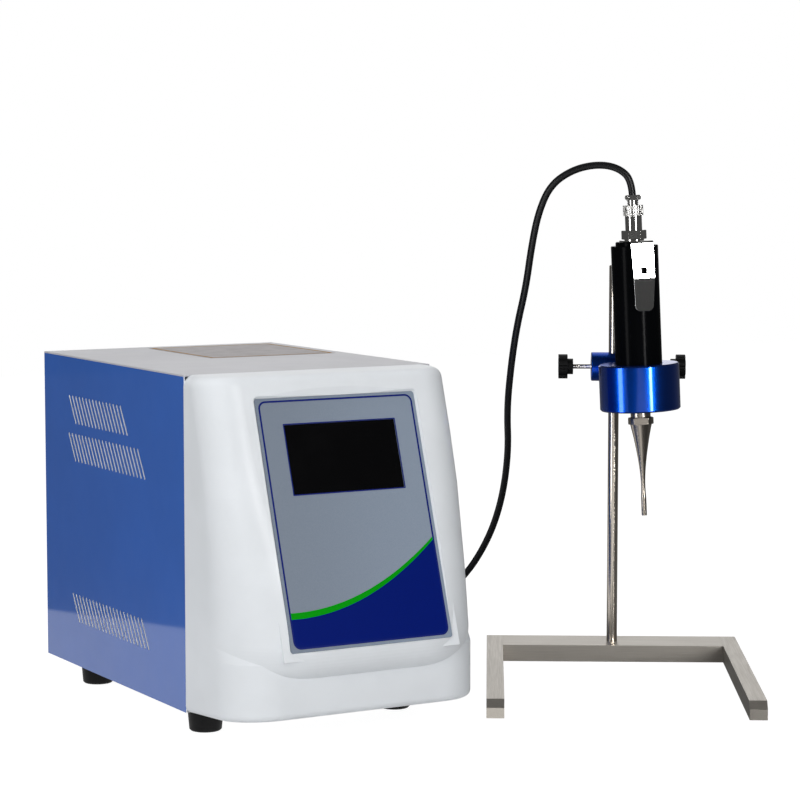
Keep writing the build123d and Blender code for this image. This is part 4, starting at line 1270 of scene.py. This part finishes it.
# The studio
@dataclass(frozen=True)
class Softbox:
    """One soft lamp: where it stands, what it faces, its size and its power."""

    name: str
    at: tuple[float, float, float]
    aim: tuple[float, float, float]
    width: float
    height: float
    power: float
    matt: bool = True
    gloss: bool = True

    def build(self) -> None:
        """Makes the lamp and turns it to what it faces."""
        data = bpy.data.lights.new(self.name, "AREA")
        data.shape = "RECTANGLE"
        data.size = self.width
        data.size_y = self.height
        data.energy = self.power
        lamp = bpy.data.objects.new(self.name, data)
        lamp.location = self.at
        lamp.rotation_euler = (Vector(self.aim) - Vector(self.at)).to_track_quat("-Z", "Y").to_euler()
        lamp.visible_camera = False
        lamp.visible_diffuse = self.matt
        lamp.visible_glossy = self.gloss
        bpy.context.scene.collection.objects.link(lamp)


class LightTree:
    """The node tree of the surroundings or the floor, with short calls for what both share."""

    def __init__(self, tree: bpy.types.NodeTree, output: str) -> None:
        """Clears a tree and gives it its output.

        Args:
            tree: The tree.
            output: The kind of its output node.
        """
        self.nodes = tree.nodes
        self.links = tree.links
        self.nodes.clear()
        self.output = self.nodes.new(output)
        self.rays = self.nodes.new("ShaderNodeLightPath")

    def add(self, kind: str, inputs: Sequence[Union[Feed, tuple[float, ...]]] = (),
            operation: str = "") -> bpy.types.Node:
        """Adds a node and sets or links its first inputs.

        Args:
            kind: The kind of node.
            inputs: Numbers, vectors or output sockets, in the order of the node's inputs.
            operation: The node's operation, if it has one.

        Returns:
            The node.
        """
        node = self.nodes.new(kind)
        if operation:
            node.operation = operation
        for socket, value in zip(node.inputs, inputs):
            if isinstance(value, bpy.types.NodeSocket):
                self.links.new(value, socket)
            else:
                socket.default_value = value
        return node

    def toward(self, vector: bpy.types.NodeSocket,
               heading: tuple[float, float, float]) -> bpy.types.NodeSocket:
        """Measures how far a vector reaches along a heading.

        Args:
            vector: The vector's socket.
            heading: The heading.

        Returns:
            The number's socket.
        """
        return self.add("ShaderNodeVectorMath", (vector, heading), "DOT_PRODUCT").outputs["Value"]

    def step(self, value: bpy.types.NodeSocket, numbers: tuple[float, ...]) -> bpy.types.NodeSocket:
        """Steps smoothly between two levels over a range of a value.

        Args:
            value: The value's socket.
            numbers: Start and end of the range, and the levels there.

        Returns:
            The level's socket.
        """
        node = self.add("ShaderNodeMapRange", (value, *numbers))
        node.interpolation_type = "SMOOTHSTEP"
        return node.outputs[0]

    def glow(self, kind: str, strength: Feed) -> bpy.types.NodeSocket:
        """Adds an even white light.

        Args:
            kind: The kind of node.
            strength: Its strength.

        Returns:
            The shader's socket.
        """
        return self.add(kind, ((1.0, 1.0, 1.0, 1.0), strength)).outputs[0]

    def matt(self, grey: float) -> bpy.types.NodeSocket:
        """Adds a matt surface of a grey and gives its shader's socket."""
        return self.add("ShaderNodeBsdfDiffuse", ((grey, grey, grey, 1.0),)).outputs[0]

    def show(self, matt: bpy.types.NodeSocket, gloss: bpy.types.NodeSocket,
             seen: bpy.types.NodeSocket) -> None:
        """Sends each kind of ray its own shader.

        Args:
            matt: What lights matt surfaces.
            gloss: What glossy surfaces mirror.
            seen: What the camera sees, also through glass.
        """
        surface = self.add("ShaderNodeMixShader", (self.rays.outputs["Is Glossy Ray"], matt, gloss))
        for kind in ("Is Transmission Ray", "Is Camera Ray"):
            surface = self.add("ShaderNodeMixShader", (self.rays.outputs[kind], surface.outputs[0], seen))
        self.links.new(surface.outputs[0], self.output.inputs["Surface"])


@dataclass
class Studio:
    """Pale floor, plain surroundings, soft lamps and the camera."""

    camera_at: tuple[float, float, float] = (-1.4475, -2.3891, 0.577)
    camera_pitch: float = 5.38
    camera_yaw: float = -29.74
    lens: float = 116.6
    ambient: float = 0.3
    room: float = 0.08
    backdrop_edge: tuple[float, float] = (0.955, 0.985)
    floor_size: float = 8.0
    floor_depth: float = 0.0006
    floor_glow: float = 0.95
    floor_shadow: float = 0.25
    floor_grey: float = 0.72
    table_heading: tuple[float, float, float] = (0.911, -0.412, 0.0)
    table_edge: tuple[float, float] = (-0.775, -0.75)
    table_side: tuple[float, float] = (-0.04, 0.02)
    table_front: tuple[float, float] = (-0.5, -0.3)
    dim_levels: tuple[float, float] = (0.05, 0.13)
    lamps: tuple[Softbox, ...] = (
        Softbox("key_softbox", (-2.0, -1.7, 1.1), (-0.1, 0.0, 0.2), 0.9, 1.2, 25.0, gloss=False),
        Softbox("front_softbox", (0.5, -2.4, 0.9), (0.0, 0.0, 0.2), 0.8, 1.2, 7.0, gloss=False),
        Softbox("top_softbox", (-0.5, 0.2, 2.4), (-0.2, 0.0, 0.2), 1.6, 1.6, 15.0, gloss=False),
        Softbox("front_strip", (0.12, -2.4, 0.93), (0.2, 0.0, 0.93), 0.3, 1.66, 50.0, matt=False),
        Softbox("near_strip", (-0.06, -0.03, 0.38), (0.2, -0.02, 0.38), 0.06, 0.48, 0.6, matt=False),
    )

    def build_camera(self) -> None:
        """Sets the camera at the photograph's angle."""
        data = bpy.data.cameras.new("camera")
        data.lens = self.lens
        data.sensor_width = 36.0
        camera = bpy.data.objects.new("camera", data)
        camera.location = self.camera_at
        camera.rotation_euler = (math.radians(90 - self.camera_pitch), 0.0, math.radians(self.camera_yaw))
        bpy.context.scene.collection.objects.link(camera)
        bpy.context.scene.camera = camera

    def build_world(self) -> None:
        """Makes plain surroundings: white to the eye, a dim room with a white backdrop to gloss."""
        world = bpy.data.worlds.new("room")
        bpy.context.scene.world = world
        world.use_nodes = True
        tree = LightTree(world.node_tree, "ShaderNodeOutputWorld")
        direction = tree.add("ShaderNodeTexCoord").outputs["Generated"]
        level = tree.add("ShaderNodeVectorMath", (direction, (1.0, 1.0, 0.0)), "MULTIPLY")
        heading = tree.add("ShaderNodeVectorMath", (level.outputs[0],), "NORMALIZE")
        yaw = math.radians(self.camera_yaw)
        ahead = tree.toward(heading.outputs[0], (-math.sin(yaw), math.cos(yaw), 0.0))
        backdrop = tree.step(ahead, (*self.backdrop_edge, self.room, 1.0))
        sky = "ShaderNodeBackground"
        tree.show(tree.glow(sky, self.ambient), tree.glow(sky, backdrop), tree.glow(sky, 1.0))

    def floor_material(self) -> bpy.types.Material:
        """Makes the floor white to the eye, with a shadow, and a white table with a dim edge to gloss.

        Returns:
            The material.
        """
        material = bpy.data.materials.new("floor_white")
        material.use_nodes = True
        tree = LightTree(material.node_tree, "ShaderNodeOutputMaterial")
        emission = "ShaderNodeEmission"
        seen = tree.add("ShaderNodeAddShader", (tree.matt(self.floor_shadow),
                                                tree.glow(emission, self.floor_glow)))
        place = tree.add("ShaderNodeTexCoord").outputs["Object"]
        axes = tree.add("ShaderNodeSeparateXYZ", (place,)).outputs
        table = tree.step(tree.toward(place, self.table_heading), (*self.table_edge, 0.0, 1.0))
        side = tree.step(axes["X"], (*self.table_side, 1.0, 0.0))
        inside = tree.add("ShaderNodeMath", (table, side), "MULTIPLY").outputs[0]
        near = tree.step(axes["Y"], (*self.table_front, *self.dim_levels))
        level = tree.add("ShaderNodeMath", (inside, near), "MAXIMUM").outputs[0]
        tree.show(tree.matt(self.floor_grey), tree.glow(emission, level), seen.outputs[0])
        return material

    def build_floor(self) -> None:
        """Lays the floor under the part."""
        work = bmesh.new()
        half = self.floor_size / 2
        corners = ((-half, -half), (half, -half), (half, half), (-half, half))
        work.faces.new([work.verts.new((*corner, -self.floor_depth)) for corner in corners])
        data = bpy.data.meshes.new("floor")
        work.to_mesh(data)
        work.free()
        data.materials.append(self.floor_material())
        floor = bpy.data.objects.new("floor", data)
        bpy.context.scene.collection.objects.link(floor)

    def build(self) -> None:
        """Sets up the floor, the surroundings, the lamps and the camera."""
        bpy.context.scene.view_settings.view_transform = "Standard"
        self.build_floor()
        self.build_world()
        for lamp in self.lamps:
            lamp.build()
        self.build_camera()


def write_sizes() -> None:
    """Logs one fixed line; no boxes are measured or written."""
    LOG.info("sizes written")


def main() -> None:
    """Builds the studio and every sub-assembly, and reports each."""
    logging.basicConfig(level=logging.INFO, format="%(name)s: %(message)s")
    for assembly in (Studio(), GeneratorCase(), MouldedFront(), RearFittings(), InnerParts(), Stand(),
                     HoldingClamp(), Handpiece(), Lead()):
        LOG.info("building %s", type(assembly).__name__)
        assembly.build()
    write_sizes()


if __name__ == "__main__":
    main()
